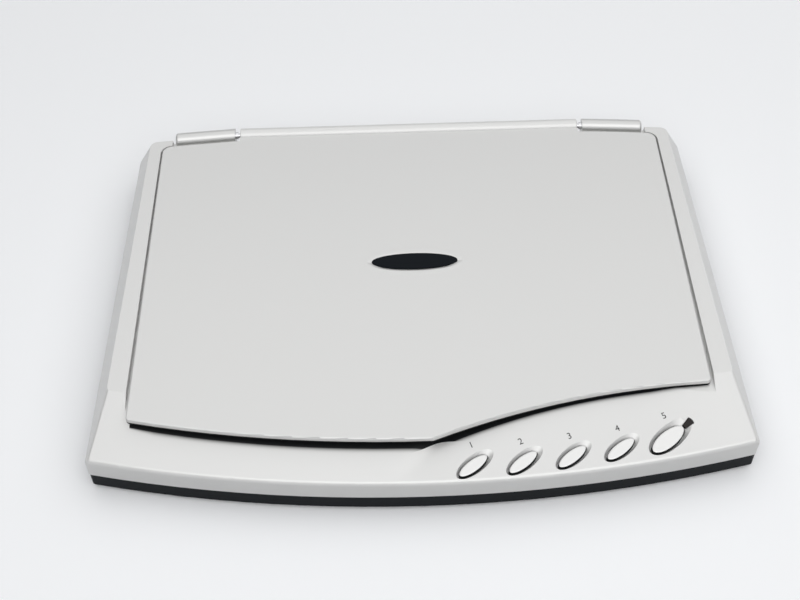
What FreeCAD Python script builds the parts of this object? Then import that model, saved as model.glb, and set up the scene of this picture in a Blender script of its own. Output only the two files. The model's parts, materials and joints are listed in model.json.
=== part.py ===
import FreeCAD, Part
import math
import os
import re
import Sketcher

# Compact flatbed scanner for cards and photographs, with a hinged cover.
# Millimetres. Origin on the table under the middle of the scanner, X right, Y back, Z up.

# Driving sizes
SIZES = {
    # body
    "body_width": 230.6,
    "body_depth": 178.6,
    "deck_height": 25.0,
    "band_height": 13.9,
    "split_height": 8.0,
    "front_radius": 506.8,
    "back_radius": 1062.0,
    "side_draft": 6.46,
    "back_draft": 3.4,
    "front_corner": 1.7,
    "back_corner": 3.0,
    "housing_wall": 1.8,
    # sloping front deck
    "edge_height": 15.6,
    "edge_round": 1.5,
    "strip_slope": 0.39,
    "scoop_slope": 0.35,
    "pod_slope": 0.24,
    "pod_margin": 31.3,
    "strip_margin": 6.3,
    "crease_front": -9.0,
    "crease_back": 15.0,
    "crease_width": 5.0,
    "deck_reach": 30.0,
    # cover
    "lid_thickness": 2.2,
    "lid_gap": 0.3,
    "lid_groove": 0.6,
    "lid_front_margin": 14.6,
    "lid_back_margin": 11.8,
    "lip_setback": 11.8,
    "lip_radius": 442.2,
    "kink_x": 3.5,
    "notch_radius": 279.0,
    "notch_setback": 32.7,
    "lid_tail": 3.5,
    "lid_back_corner": 4.0,
    "lid_front_corner": 1.4,
    "lid_edge_round": 0.5,
    "lid_skin": 1.2,
    "lid_rim": 2.0,
    "liner_thickness": 0.9,
    "liner_play": 0.15,
    "pad_thickness": 0.9,
    "pad_play": 1.5,
    "pad_corner": 2.0,
    "badge_half": 16.3,
    "badge_rise": 6.2,
    "badge_y": 5.6,
    "badge_thickness": 0.7,
    "badge_round": 0.3,
    "badge_depth": 0.5,
    "badge_play": 0.08,
    "badge_dish_long": 2.5,
    "badge_dish_wide": 0.85,
    "badge_dish_depth": 0.3,
    "bumper_radius": 2.0,
    "bumper_height": 0.8,
    "bumper_margin": 8.7,
    "bumper_setback": 45.3,
    # hinge
    "hinge_radius": 3.0,
    "hinge_inset": 1.1,
    "hinge_drop": 1.3,
    "barrel_margin": 16.7,
    "barrel_length": 25.0,
    "neck_length": 2.2,
    "barrel_round": 1.1,
    "bar_round": 0.4,
    "pin_radius": 1.0,
    "pin_grip": 9.0,
    "pin_play": 0.05,
    "collar_radius": 1.5,
    "trough_play": 0.5,
    "seat_back": 2.7,
    "seat_drop": 8.5,
    "seat_front": 2.0,
    "seat_lip": 1.2,
    # window and glass
    "window_left": 45.3,
    "window_right": 32.9,
    "window_front": 53.3,
    "window_back": 23.7,
    "home_zone": 16.0,
    "glass_lap": 3.6,
    "glass_thickness": 1.8,
    "glass_play": 0.2,
    "glass_edge": 0.25,
    "bezel_lip": 0.8,
    "strip_width": 10.0,
    "strip_thickness": 0.2,
    # tray
    "foot_height": 1.5,
    "foot_radius": 5.5,
    "foot_sink": 0.7,
    "foot_round": 0.5,
    "foot_margin": 18.3,
    "foot_front": 33.3,
    "foot_back": 21.3,
    "tray_inset": 0.3,
    "tray_floor": 2.0,
    "tray_edge": 0.4,
    "lap_height": 2.5,
    "lap_wall": 1.1,
    "lap_play": 0.15,
    # case screws
    "screw_radius": 1.3,
    "screw_play": 0.1,
    "screw_head": 2.4,
    "screw_head_height": 1.6,
    "screw_seat": 1.7,
    "screw_length": 8.0,
    "screw_cup": 4.0,
    "screw_cup_height": 6.0,
    "boss_radius": 3.0,
    "screw_left": 37.1,
    "screw_middle": 8.05,
    "screw_right": 11.8,
    "screw_rear": 39.4,
    "screw_left_setback": 17.3,
    "screw_middle_setback": 12.3,
    "screw_right_setback": 21.3,
    "screw_rear_setback": 8.3,
    "screw_centre_setback": 7.3,
    # button panel
    "panel_margin": 65.1,
    "panel_setback": 5.6,
    "button_pitch": 16.8,
    "row_radius": 350.0,
    "row_middle": -8.0,
    "row_low": -0.05,
    "button_major": 6.1,
    "button_minor": 2.2,
    "button_turn": 31.0,
    "scan_major": 7.3,
    "scan_minor": 3.0,
    "scan_turn": 32.0,
    "button_proud": 0.35,
    "button_round": 0.7,
    "button_play": 0.3,
    "flange_width": 1.1,
    "flange_thickness": 0.7,
    "flange_gap": 0.2,
    "dish_length": 1.3,
    "dish_width": 0.75,
    "dish_shift_u": 0.55,
    "dish_shift_v": 0.65,
    "dish_depth": 0.9,
    "stem_radius": 1.4,
    "stem_length": 1.2,
    "button_travel": 0.8,
    "switch_side": 6.0,
    "switch_height": 3.0,
    "plunger_radius": 1.7,
    "plunger_show": 1.2,
    "plunger_play": 0.05,
    "panel_board": 1.2,
    "panel_post_left": 33.6,
    "panel_post_right": 32.0,
    "panel_room": 18.0,
    "post_left_setback": 15.5,
    "post_middle_setback": 17.0,
    "post_right_setback": 24.0,
    "lens_inner": 1.5,
    "lens_outer": 2.8,
    "lens_length": 3.3,
    "lens_plate": 1.0,
    "lens_gap": 0.35,
    "pipe_radius": 0.8,
    "led_side": 1.6,
    "led_height": 0.8,
    # carriage guide and drive
    "home_inset": 8.0,
    "rod_left_margin": 22.3,
    "rod_right_margin": 19.3,
    "rod_setback": 39.3,
    "drive_margin": 21.3,
    "idler_margin": 18.3,
    "belt_setback": 30.3,
    "rod_radius": 2.5,
    "rod_edge": 0.4,
    "rod_z": 9.0,
    "post_length": 3.0,
    "post_half": 3.5,
    "clip_height": 4.2,
    "pulley_z": 10.0,
    "pulley_pitch": 4.53,
    "pulley_teeth": 14.0,
    "belt_low": 0.2,
    "belt_high": 0.45,
    "belt_width": 3.6,
    "pulley_width": 4.0,
    "flange_rise": 0.9,
    "flange_plate": 0.5,
    "gear_module": 0.4,
    "gear_teeth": 30.0,
    "pinion_teeth": 10.0,
    "gear_width": 3.0,
    "gear_gap": 0.8,
    "gear_backlash": 0.1,
    "axle_radius": 1.0,
    "axle_play": 0.05,
    "motor_radius": 7.5,
    "motor_length": 12.0,
    "motor_round": 0.8,
    "motor_rise": 1.5,
    "shaft_radius": 0.75,
    "bracket_wall": 1.2,
    "bracket_base": 1.2,
    "side_play": 0.3,
    # carriage and sensor bar
    "bar_width": 14.0,
    "bar_reach": 7.0,
    "bar_low": 9.7,
    "bar_top_gap": 0.5,
    "frame_wall": 1.1,
    "frame_play": 0.1,
    "frame_low": 5.5,
    "frame_floor": 1.2,
    "frame_high": 13.0,
    "sleeve_radius": 4.5,
    "sleeve_length": 20.0,
    "bush_radius": 3.5,
    "bush_length": 5.0,
    "bush_play": 0.04,
    "rail_gap": 2.2,
    "rail_width": 2.0,
    "rail_height": 1.5,
    "rail_play": 0.1,
    "clamp_length": 9.0,
    "clamp_plate": 1.4,
    "clamp_round": 0.5,
    "lens_slot": 2.4,
    "sensor_board": 1.0,
    "cover_glass": 0.8,
    "pad_length": 6.0,
    "pad_gap": 0.05,
    "leaf_thickness": 0.3,
    "leaf_length": 12.0,
    "leaf_width": 5.0,
    # electronics
    "board_margin": 22.3,
    "board_front_setback": 59.3,
    "board_back_setback": 12.3,
    "board_width": 17.0,
    "board_z": 8.0,
    "board_thickness": 1.2,
    "standoff_radius": 2.4,
    "standoff_inset": 3.0,
    "usb_margin": 13.8,
    "usb_width": 7.7,
    "usb_height": 3.9,
    "usb_length": 9.2,
    "usb_wall": 0.4,
    "usb_play": 0.3,
    "ribbon_thickness": 0.25,
    "ribbon_width": 12.0,
    "ribbon_setback": 109.3,
    "ribbon_bend": 2.4,
    "lead_width": 5.0,
    "lead_setback": 49.3,
    "lead_thickness": 0.8,
}

# Places worked out from the driving sizes
PLACES = {
    "half_width": "body_width / 2",
    "front_y": "-body_depth / 2",
    "back_y": "body_depth / 2",
    "front_axis": "front_y + front_radius",
    "back_axis": "body_depth / 2 - back_draft - back_radius",
    "strip_start": "half_width - strip_margin",
    "pod_end": "half_width - pod_margin",
    "window_width": "body_width - window_left - window_right",
    "window_depth": "body_depth - window_front - window_back",
    "window_x": "(window_left - window_right) / 2",
    "window_y": "(window_front - window_back) / 2",
    "lid_front_half": "half_width - lid_front_margin",
    "lid_back_half": "half_width - lid_back_margin",
    "notch_end_y": "front_y + notch_setback",
    "bumper_x": "lid_front_half - bumper_margin",
    "bumper_y": "front_y + bumper_setback",
    "panel_x": "half_width - panel_margin",
    "hinge_y": "body_depth / 2 - back_draft - hinge_inset",
    "hinge_z": "deck_height - hinge_drop",
    "lid_low": "deck_height - lid_thickness",
    "recess_floor": "lid_low - lid_gap",
    "glass_top": "recess_floor - bezel_lip",
    "glass_low": "glass_top - glass_thickness",
    "cavity_top": "recess_floor - housing_wall",
    "glass_left": "window_x - window_width / 2 - home_zone",
    "glass_right": "window_x + window_width / 2 + glass_lap",
    "glass_front": "window_y - window_depth / 2 - glass_lap",
    "glass_back": "window_y + window_depth / 2 + glass_lap",
    "floor_top": "foot_height + tray_floor",
    "lap_inset": "housing_wall + lap_play",
    "tray_inner": "lap_inset + lap_wall",
    "barrel_end": "half_width - barrel_margin",
    "barrel_start": "barrel_end - barrel_length",
    "bar_half": "barrel_start - neck_length",
    "foot_x": "half_width - foot_margin",
    "foot_front_y": "front_y + foot_front",
    "foot_back_y": "back_y - foot_back",
    "home_x": "window_x - window_width / 2 - home_inset",
    "rod_left": "-half_width + rod_left_margin",
    "rod_right": "half_width - rod_right_margin",
    "rod_y": "front_y + rod_setback",
    "drive_x": "-half_width + drive_margin",
    "idler_x": "half_width - idler_margin",
    "belt_y": "front_y + belt_setback",
    "board_left": "half_width - board_margin",
    "board_front": "front_y + board_front_setback",
    "board_back": "back_y - board_back_setback",
    "usb_x": "half_width - usb_margin",
    "ribbon_y": "front_y + ribbon_setback",
    "lead_y": "front_y + lead_setback",
    "button_depth": "housing_wall + flange_gap + flange_thickness",
    "lip_axis": "front_y + lip_setback + lip_radius",
    "lip_left_y": "lip_axis - sqrt(lip_radius ^ 2 - lid_front_half ^ 2)",
    "kink_y": "lip_axis - sqrt(lip_radius ^ 2 - kink_x ^ 2)",
    "tail_radius": "back_radius - lid_tail",
    "lid_back_y": "back_axis + sqrt(tail_radius ^ 2 - lid_back_half ^ 2)",
    "tab_back_y": "hinge_y - hinge_radius / 2",
    "bar_y": "window_y",
    "bar_length": "window_depth + 2 * bar_reach",
    "bar_top": "glass_low - bar_top_gap",
    "frame_half": "bar_width / 2 + frame_play + frame_wall",
    "frame_front": "bar_y - bar_length / 2 - frame_play - frame_wall",
    "frame_back": "bar_y + bar_length / 2 + frame_play + frame_wall",
    "rail_y": "frame_back + rail_gap",
    "belt_inner": "pulley_pitch - belt_low",
    "belt_outer": "pulley_pitch + belt_high",
    "belt_front": "belt_y - belt_width / 2",
    "belt_back": "belt_y + belt_width / 2",
    "pulley_front": "belt_y - pulley_width / 2",
    "pulley_back": "belt_y + pulley_width / 2",
    "gear_back": "pulley_front - flange_plate - gear_gap",
    "gear_front": "gear_back - gear_width",
    "bracket_front": "gear_front - side_play - bracket_wall",
    "bracket_back": "pulley_back + flange_plate + side_play",
    "gear_pitch": "gear_module * gear_teeth / 2",
    "pinion_pitch": "gear_module * pinion_teeth / 2",
    "gear_centres": "gear_pitch + pinion_pitch",
    "motor_x": "drive_x - sqrt(gear_centres ^ 2 - motor_rise ^ 2)",
    "motor_z": "pulley_z + motor_rise",
    "travel": "window_x + window_width / 2 - home_x",
    "board_top": "board_z + board_thickness",
}

WORD = re.compile(r"[a-z_]+")

doc = FreeCAD.newDocument("FlatbedScanner")
sheet = doc.addObject("Spreadsheet::Sheet", "Sizes")
for row, (alias, value) in enumerate(SIZES.items(), start=1):
    sheet.set(f"A{row}", alias)
    sheet.set(f"B{row}", str(value))
    sheet.setAlias(f"B{row}", alias)
doc.recompute()

nodes = []
V = FreeCAD.Vector
ALONG_Y = FreeCAD.Rotation(V(1, 0, 0), -90)
ALONG_X = FreeCAD.Rotation(V(0, 1, 0), 90)
UPRIGHT = FreeCAD.Rotation(V(1, 0, 0), 90)


def expand(expression):
    """The expression with each named size or place written out for the sheet."""
    def swap(found):
        word = found.group()
        if word in SIZES:
            return "Sizes." + word
        if word in PLACES:
            return "(" + expand(PLACES[word]) + ")"
        return word
    return WORD.sub(swap, str(expression))


def number(expression):
    """The value of an expression as a plain number."""
    return float(sheet.evalExpression(expand(expression)))


def bind(item, **links):
    """Tie properties of an object to expressions; two underscores stand for a dot."""
    for name, expression in links.items():
        item.setExpression(name.replace("__", "."), expand(expression))
    return item


def at(item, x="0", y="0", z="0", turn=None):
    """Place an object at expressions for its position."""
    if turn is not None:
        item.Placement = FreeCAD.Placement(V(), turn)
    return bind(item, Placement__Base__x=x, Placement__Base__y=y, Placement__Base__z=z)


def box(name, x, y, z):
    """A box from three pairs of expressions, low and high along each axis."""
    item = doc.addObject("Part::Box", name)
    bind(item, Length=f"({x[1]}) - ({x[0]})", Width=f"({y[1]}) - ({y[0]})", Height=f"({z[1]}) - ({z[0]})")
    return at(item, x[0], y[0], z[0])


def rod(name, radius, length, x="0", y="0", z="0", turn=None):
    """A cylinder from its base, standing along Z unless it is turned."""
    item = doc.addObject("Part::Cylinder", name)
    bind(item, Radius=radius, Height=length)
    return at(item, x, y, z, turn)


def fuse(name, *items):
    item = doc.addObject("Part::MultiFuse", name)
    item.Shapes = list(items)
    return item


def common(name, *items):
    item = doc.addObject("Part::MultiCommon", name)
    item.Shapes = list(items)
    return item


def cut(name, base, *tools):
    """The base less the tools."""
    item = doc.addObject("Part::Cut", name)
    item.Base = base
    item.Tool = tools[0] if len(tools) == 1 else fuse(name + "Tools", *tools)
    item.Refine = False
    return item


def group(name, *items):
    item = doc.addObject("Part::Compound", name)
    item.Links = list(items)
    return item


def fixed(name, shape):
    """An object for a shape that is worked out from the sheet's values."""
    item = doc.addObject("Part::Feature", name)
    item.Shape = shape
    return item


def rounded(name, base, radius, chosen, kind="Part::Fillet"):
    """Round, or chamfer, the edges of the base that the test picks."""
    doc.recompute()
    edges = [i + 1 for i, edge in enumerate(base.Shape.Edges) if chosen(edge)]
    if not edges:
        raise RuntimeError(f"{name}: no edge to round")
    item = doc.addObject(kind, name)
    item.Base = base
    size = number(radius)
    item.Edges = [(index, size, size) for index in edges]
    return item


def outline(name, corners, arcs=None):
    """A closed sketch through corners given as expressions; arcs maps an edge to radius and side."""
    arcs = arcs or {}
    sketch = doc.addObject("Sketcher::SketchObject", name)
    points = [V(number(x), number(y), 0) for x, y in corners]
    count = len(points)
    ends = []
    for i, start in enumerate(points):
        stop = points[(i + 1) % count]
        if i in arcs:
            radius, side = number(arcs[i][0]), arcs[i][1]
            chord = stop - start
            across = V(-chord.y, chord.x, 0).normalize() * side
            rise = math.sqrt(radius ** 2 - chord.Length ** 2 / 4)
            centre = (start + stop) * 0.5 + across * rise
            first, last = (start, stop) if side > 0 else (stop, start)
            angles = [math.atan2(p.y - centre.y, p.x - centre.x) for p in (first, last)]
            circle = Part.Circle(centre, V(0, 0, 1), radius)
            sketch.addGeometry(Part.ArcOfCircle(circle, angles[0], angles[1]), False)
            ends.append((1, 2) if side > 0 else (2, 1))
        else:
            sketch.addGeometry(Part.LineSegment(start, stop), False)
            ends.append((1, 2))
    for i in range(count):
        after = (i + 1) % count
        sketch.addConstraint(Sketcher.Constraint("Coincident", i, ends[i][1], after, ends[after][0]))
    for i, (x, y) in enumerate(corners):
        for kind, expression, value in (("DistanceX", x, points[i].x), ("DistanceY", y, points[i].y)):
            index = sketch.addConstraint(Sketcher.Constraint(kind, -1, 1, i, ends[i][0], value))
            sketch.setExpression(f"Constraints[{index}]", expand(expression))
    for i, (radius, side) in arcs.items():
        index = sketch.addConstraint(Sketcher.Constraint("Radius", i, number(radius)))
        sketch.setExpression(f"Constraints[{index}]", expand(radius))
    return sketch


def raised(name, flat, height, x="0", y="0", z="0", turn=None):
    """A flat outline raised along its normal."""
    item = doc.addObject("Part::Extrusion", name)
    item.Base = flat
    item.DirMode = "Normal"
    item.Solid = True
    bind(item, LengthFwd=height)
    return at(item, x, y, z, turn)


def node(item, label):
    """Name a finished piece."""
    item.Label = label
    nodes.append(item)
    return item


def ellipse(name, major, minor):
    item = doc.addObject("Part::Ellipse", name)
    return bind(item, MajorRadius=major, MinorRadius=minor)


# Body outlines

def corner(side_x, axis_y, radius, rounding, facing):
    """Rounding between a side wall and an end arc: its two ends and its middle."""
    centre_x = side_x - rounding
    centre_y = axis_y + facing * math.sqrt((radius - rounding) ** 2 - centre_x ** 2)
    out = V(centre_x, centre_y - axis_y, 0).normalize()
    centre = V(centre_x, centre_y, 0)
    on_side = V(side_x, centre_y, 0)
    on_arc = centre + out * rounding
    middle = centre + (out + V(1, 0, 0)).normalize() * rounding
    return on_side, middle, on_arc


def mirrored(point):
    return V(-point.x, point.y, 0)


def body_outline(half, back_reach, inset, height):
    """The plan of the body as a wire: bowed front and back, straight sides, round corners."""
    side = half - inset
    front_r = number("front_radius") - inset
    back_r = back_reach - inset
    least = 0.4
    small = max(number("front_corner") - inset, least)
    large = max(number("back_corner") - inset, least)
    f_side, f_mid, f_arc = corner(side, number("front_axis"), front_r, small, -1)
    b_side, b_mid, b_arc = corner(side, number("back_axis"), back_r, large, 1)
    f_apex = V(0, number("front_axis") - front_r, 0)
    b_apex = V(0, number("back_axis") + back_r, 0)
    edges = [
        Part.Arc(mirrored(f_arc), f_apex, f_arc),
        Part.Arc(f_arc, f_mid, f_side),
        Part.LineSegment(f_side, b_side),
        Part.Arc(b_side, b_mid, b_arc),
        Part.Arc(b_arc, b_apex, mirrored(b_arc)),
        Part.Arc(mirrored(b_arc), mirrored(b_mid), mirrored(b_side)),
        Part.LineSegment(mirrored(b_side), mirrored(f_side)),
        Part.Arc(mirrored(f_side), mirrored(f_mid), mirrored(f_arc)),
    ]
    wire = Part.Wire([edge.toShape() for edge in edges])
    wire.translate(V(0, 0, height))
    return wire


def low_outline(name, inset, height):
    """The body's plan at and below the silver band."""
    reach = number("back_radius + back_draft")
    return fixed(name, body_outline(number("body_width") / 2, reach, number(inset), number(height)))


def top_outline(name, inset, height):
    """The body's plan at a height above the band, where sides and back lean in."""
    lean = number(f"(({height}) - band_height) / (deck_height - band_height)")
    half = number("body_width / 2") - number("side_draft") * lean
    reach = number("back_radius") + number("back_draft") * (1 - lean)
    return fixed(name, body_outline(half, reach, number(inset), number(height)))


def leaned_block(name, inset, low, high):
    """A solid of the body's form between two heights, with upright walls below the band."""
    base = raised(name + "Wall", low_outline(name + "Low", inset, low), f"band_height - ({low})")
    band = low_outline(name + "Band", inset, "band_height")
    upper = doc.addObject("Part::Loft", name + "Crown")
    upper.Sections = [band, top_outline(name + "Top", inset, high)]
    upper.Solid = True
    upper.Ruled = True
    return fuse(name, base, upper)


# Sloping deck

def deck_cutter(drop):
    """Everything above the deck, lowered by drop: a smooth sheet drawn through straight slopes."""
    axis = number("front_axis")
    radius = number("front_radius")
    reach = number("deck_reach")
    edge = number("edge_height") - drop
    half = number("body_width") / 2
    strip, scoop, pod = (number(s) for s in ("strip_slope", "scoop_slope", "pod_slope"))
    start, end = number("strip_start"), number("pod_end")
    front, width = number("crease_front"), number("crease_width")
    skew = number("crease_back") - front
    outside = 4.0
    spread = 60.0
    stations = [(-half - outside, strip), (-half, strip), (-start, strip), (-(start + end) / 2, (strip + scoop) / 2)]
    stations += [(-end, scoop), (-end * 0.87, scoop), (-end * 0.7, scoop), (-end * 0.45, scoop)]
    stations += [(front - width * 1.5, scoop), (front - width / 2, scoop)]
    stations += [(front + width / 2, pod), (front + width * 1.5, pod)]
    stations += [(end * 0.3, pod), (end * 0.6, pod), (end * 0.8, pod), (end * 0.9, pod), (end, pod)]
    stations += [((start + end) / 2, (strip + pod) / 2), (start, strip), (half, strip), (half + outside, strip)]
    poles = []
    for x, slope in stations:
        lean = skew * max(0.0, 1 - abs(x - front) / spread) / reach
        row = []
        for depth in (-outside, reach):
            here = x * (radius - depth) / radius + lean * depth
            row.append(V(here, axis - math.sqrt((radius - depth) ** 2 - here ** 2), edge + slope * depth))
        poles.append(row)
    degree = 3
    spans = len(poles) - degree
    sheet_form = Part.BSplineSurface()
    sheet_form.buildFromPolesMultsKnots(poles, [degree + 1] + [1] * (spans - 1) + [degree + 1], [2, 2],
                                        [float(i) for i in range(spans + 1)], [0.0, 1.0], False, False, degree, 1)
    solid = sheet_form.toShape().extrude(V(0, 0, number("deck_height") * 2))
    if solid.Volume < 0:
        solid.reverse()
    return solid


# Places on the button panel

def panel_place(u="0", v="0", w="0", turn=0.0, follow=False):
    """A placement on the panel: u along the row, v up the slope, w out of it or of the curved deck."""
    x = number("panel_x")
    y = number("front_axis - sqrt((front_radius - panel_setback) ^ 2 - panel_x ^ 2)")
    z = number("edge_height + pod_slope * panel_setback")
    swing = math.degrees(math.asin(x / number("front_radius")))
    lean = math.degrees(math.atan(number("pod_slope")))
    turned = FreeCAD.Rotation(V(0, 0, 1), swing).multiply(FreeCAD.Rotation(V(1, 0, 0), lean))
    base = FreeCAD.Placement(V(x, y, z), turned)
    level = number(w)
    if follow:
        spot = base.multVec(V(number(u), number(v), 0))
        depth = number("front_radius") - math.hypot(spot.x, spot.y - number("front_axis"))
        level += (number("edge_height") + number("pod_slope") * depth - spot.z) * math.cos(math.radians(lean))
    local = FreeCAD.Placement(V(number(u), number(v), level), FreeCAD.Rotation(V(0, 0, 1), turn))
    return base.multiply(local)


BUTTONS = ["function_button_1", "function_button_2", "function_button_3", "function_button_4", "scan_button"]


def button_spot(index):
    """Expressions for a button: its place along and across the row, half sizes and turn."""
    u = f"{index - 2} * button_pitch"
    v = f"row_low + (({u}) - row_middle) ^ 2 / (2 * row_radius)"
    kind = "scan" if index == len(BUTTONS) - 1 else "button"
    return u, v, kind + "_major", kind + "_minor", number(kind + "_turn")


def placed(item, place):
    item.Placement = place
    return item


def slab(name, major, minor, low, high, u, v, turn):
    """An elliptical disc on the panel between two levels."""
    flat = ellipse(name + "Edge", major, minor)
    disc = doc.addObject("Part::Extrusion", name)
    disc.Base = flat
    disc.DirMode = "Normal"
    disc.Solid = True
    bind(disc, LengthFwd=f"({high}) - ({low})")
    return placed(disc, panel_place(u, v, low, turn, True))


def panel_round(name, radius, low, high, u, v):
    """A round post on the panel between two levels."""
    item = rod(name, radius, f"({high}) - ({low})")
    item.setExpression("Placement.Base.x", None)
    item.setExpression("Placement.Base.y", None)
    item.setExpression("Placement.Base.z", None)
    return placed(item, panel_place(u, v, low))


def panel_box(name, half_u, half_v, low, high, u, v):
    """A box on the panel, centred on u and v."""
    item = doc.addObject("Part::Box", name)
    bind(item, Length=f"2 * ({half_u})", Width=f"2 * ({half_v})", Height=f"({high}) - ({low})")
    return placed(item, panel_place(f"({u}) - ({half_u})", f"({v}) - ({half_v})", low))


def lens_plan(grow):
    """The status lens seen from above: a fan at the upper tip of the scan button."""
    u, v, major, minor, turn = button_spot(len(BUTTONS) - 1)
    inner = number("lens_inner") / 2 + grow
    outer = number("lens_outer") / 2 + grow
    start = number(major + " + lens_gap") - grow
    stop = start + number("lens_length") + 2 * grow
    bow = outer * 0.3
    points = [V(start, -inner, 0), V(stop, -outer, 0), V(stop + bow, 0, 0), V(stop, outer, 0), V(start, inner, 0)]
    edges = [
        Part.LineSegment(points[0], points[1]),
        Part.Arc(points[1], points[2], points[3]),
        Part.LineSegment(points[3], points[4]),
        Part.LineSegment(points[4], points[0]),
    ]
    return Part.Face(Part.Wire([edge.toShape() for edge in edges]))


def lens_solid(grow, low, high):
    u, v, major, minor, turn = button_spot(len(BUTTONS) - 1)
    depth = number(high) - number(low)
    solid = lens_plan(grow).extrude(V(0, 0, depth))
    solid.Placement = panel_place(u, v, low, turn, True)
    return solid


def lens_spot():
    """Panel place of the lens's middle, as plain numbers in text."""
    u, v, major, minor, turn = button_spot(len(BUTTONS) - 1)
    reach = number(major + " + lens_gap + 0.68 * lens_length")
    angle = math.radians(turn)
    return str(number(u) + reach * math.cos(angle)), str(number(v) + reach * math.sin(angle))


SWITCH_TOP = "-(button_depth + stem_length + plunger_show)"
SWITCH_LOW = f"({SWITCH_TOP}) - switch_height"
PANEL_BOARD_LOW = f"({SWITCH_LOW}) - panel_board"


# Case screws: where they stand
SCREW_SPOTS = [
    ("-half_width + screw_left", "front_y + screw_left_setback"),
    ("-screw_middle", "front_y + screw_middle_setback"),
    ("half_width - screw_right", "front_y + screw_right_setback"),
    ("-half_width + screw_rear", "back_y - screw_rear_setback"),
    ("0", "back_y - screw_centre_setback"),
    ("half_width - screw_rear", "back_y - screw_rear_setback"),
]


def everywhere(prefix, spots, maker):
    """One object per spot, in a list."""
    return [maker(f"{prefix}{i}", x, y) for i, (x, y) in enumerate(spots)]


# Top housing

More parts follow.
